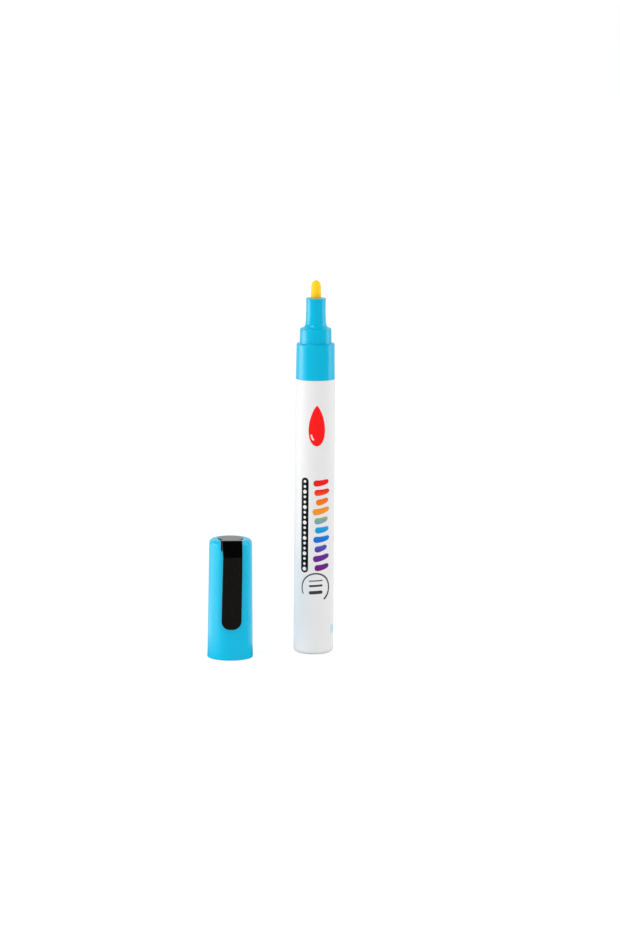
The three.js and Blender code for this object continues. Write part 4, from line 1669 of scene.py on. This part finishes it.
softbox = light_panel(
    "softbox", azimuth=-46, elevation=42, distance=1000, size=(480, 480), radiance=3.2
)
strip = light_panel("strip", azimuth=-93, elevation=4, distance=600, size=(375, 210), radiance=2.42)
light_panel("card", azimuth=98, elevation=12, distance=600, size=(360, 520), radiance=1.6)
print("a softbox, a strip and a card")

# %% [markdown]
# The cap stands so close to the barrel that it would keep both lamps on its side off the barrel's foot,
# and the real barrel is as pale there as it is higher up. So the cap and its clip are listed as pieces
# that don't block the light of these two lamps. They are still lit by them, and they still keep the
# world's fill off their neighbours, which leaves the soft shade where they touch the floor.

# %% What the lamps pass
passed = bpy.data.collections.new("passed_by_lamps")
for piece in (cap_moulding, clip_moulding):
    passed.objects.link(piece)
for entry in passed.collection_objects:
    entry.light_linking.link_state = "EXCLUDE"
for lamp in (softbox, strip):
    lamp.light_linking.blocker_collection = passed

# %% [markdown]
# The world tells kinds of ray apart. A camera ray sees plain white. A mirrored ray sees a bright wall
# behind the object and a dim room in front of it, so black and glossy pieces keep their shape. Every
# other ray sees the fill that lights the surfaces. It is even all round and a little weaker overhead,
# because the shoulders of the real pieces are darker than their sides.

# %% The world
FILL_LOW = 0.83
FILL_HIGH = 0.68
ROOM = 0.02
TABLE = 0.04
WALL = 0.8
WALL_FROM = 0.25
WALL_FULL = 0.75


def room_glow(board, direction, front):
    """How bright a direction is in a mirror: front towards the camera, and bright behind the object."""
    return board.ranged(board.part(direction, 1), WALL_FROM, WALL_FULL, front, WALL)


def ray_kinds(board):
    """Signals that are 1 for a camera ray, and 1 for a mirrored or refracted ray."""
    path = board.tree.nodes.new("ShaderNodeLightPath")
    seen = Signal(board, path.outputs["Is Camera Ray"])
    bent = Signal(board, path.outputs["Is Transmission Ray"])
    return seen, Signal(board, path.outputs["Is Glossy Ray"]) + bent


def studio_world():
    """White to the camera, a bright wall and a dim room to a mirror, and an even fill to the rest."""
    world = bpy.data.worlds.new("studio")
    world.use_nodes = True
    bpy.context.scene.world = world
    board = Board(world.node_tree)
    direction = board.node("ShaderNodeTexCoord", output=0)
    seen, mirrored = ray_kinds(board)
    fill = board.ranged(board.part(direction, 2), 0.0, 1.0, FILL_LOW, FILL_HIGH)
    strength = seen + mirrored * room_glow(board, direction, ROOM) + (1 - seen - mirrored) * fill
    sky = board.node("ShaderNodeBackground", None, {"Color": colour(1, 1, 1), "Strength": strength})
    board.node("ShaderNodeOutputWorld", None, {"Surface": sky})


studio_world()
print("the world is set")

# %% [markdown]
# The floor is a wide sheet that runs out of sight, so that no wall is needed. It is pale and lights the
# pieces from below. To the camera most of it is a white glow and a part is its real lit colour, so the
# object's shadow stays on it, as faint as on a lit table. A mirror sees the same room in it as in the
# world, and on the left the sheen that the strip light leaves on a smooth table top. That sheen is what
# brightens the left side of the low cap, which is too low to mirror the strip itself.

# %% The floor
FLOOR_RADIUS = 3000.0
FLOOR_GAP = 0.02
FLOOR_SIDES = 96
FLOOR_TONE = 0.94
SHADOW_REACH = 160.0
SHADOW_END = 480.0
SHADOW_SHARE = 0.25
GLOW = 1.1
SHEEN = 1.7
SHEEN_START = 30.0
SHEEN_FULL = 90.0
SHEEN_SIDE_START = -0.75
SHEEN_SIDE_FULL = -0.95


def studio_floor():
    """A round sheet just under the object."""
    bm = bmesh.new()
    bmesh.ops.create_circle(bm, cap_ends=True, segments=FLOOR_SIDES, radius=FLOOR_RADIUS * MM)
    bmesh.ops.translate(bm, verts=bm.verts, vec=(0, 0, -FLOOR_GAP * MM))
    floor = added("floor", mesh_of(bm, "floor"))
    material = bpy.data.materials.new("floor_white")
    material.use_nodes = True
    board = Board(material.node_tree)
    own = board.node("ShaderNodeTexCoord", output=3)
    distance = board.node("ShaderNodeVectorMath", {"operation": "LENGTH"}, {0: own}, output=1)
    direction = board.node("ShaderNodeVectorMath", {"operation": "NORMALIZE"}, {0: own})
    seen, mirrored = ray_kinds(board)
    share = board.ranged(distance, SHADOW_REACH * MM, SHADOW_END * MM, 1 - SHADOW_SHARE, 1.0)
    leftward = board.ranged(
        board.part(direction, 0), SHEEN_SIDE_START, SHEEN_SIDE_FULL, 0.0, SHEEN
    )
    sheen = leftward * board.ranged(distance, SHEEN_START * MM, SHEEN_FULL * MM)
    far = room_glow(board, direction, TABLE)
    brighter = board.node("ShaderNodeMath", {"operation": "MAXIMUM"}, {0: sheen, 1: far})
    strength = seen * GLOW + mirrored * brighter
    sheet = board.node("ShaderNodeBsdfDiffuse", None, {"Color": colour(*[FLOOR_TONE] * 3)})
    light = board.node("ShaderNodeEmission", None, {"Strength": strength})
    both = board.node("ShaderNodeMixShader", None, {0: seen * share + mirrored, 1: sheet, 2: light})
    board.node("ShaderNodeOutputMaterial", None, {"Surface": both})
    floor.data.materials.append(material)


studio_floor()
print("the floor is", 2 * FLOOR_RADIUS * MM, "m wide")

# %% [markdown]
# ## Last settings
#
# The Standard view shows each colour as it is written.

# %% View
bpy.context.scene.view_settings.view_transform = "Standard"
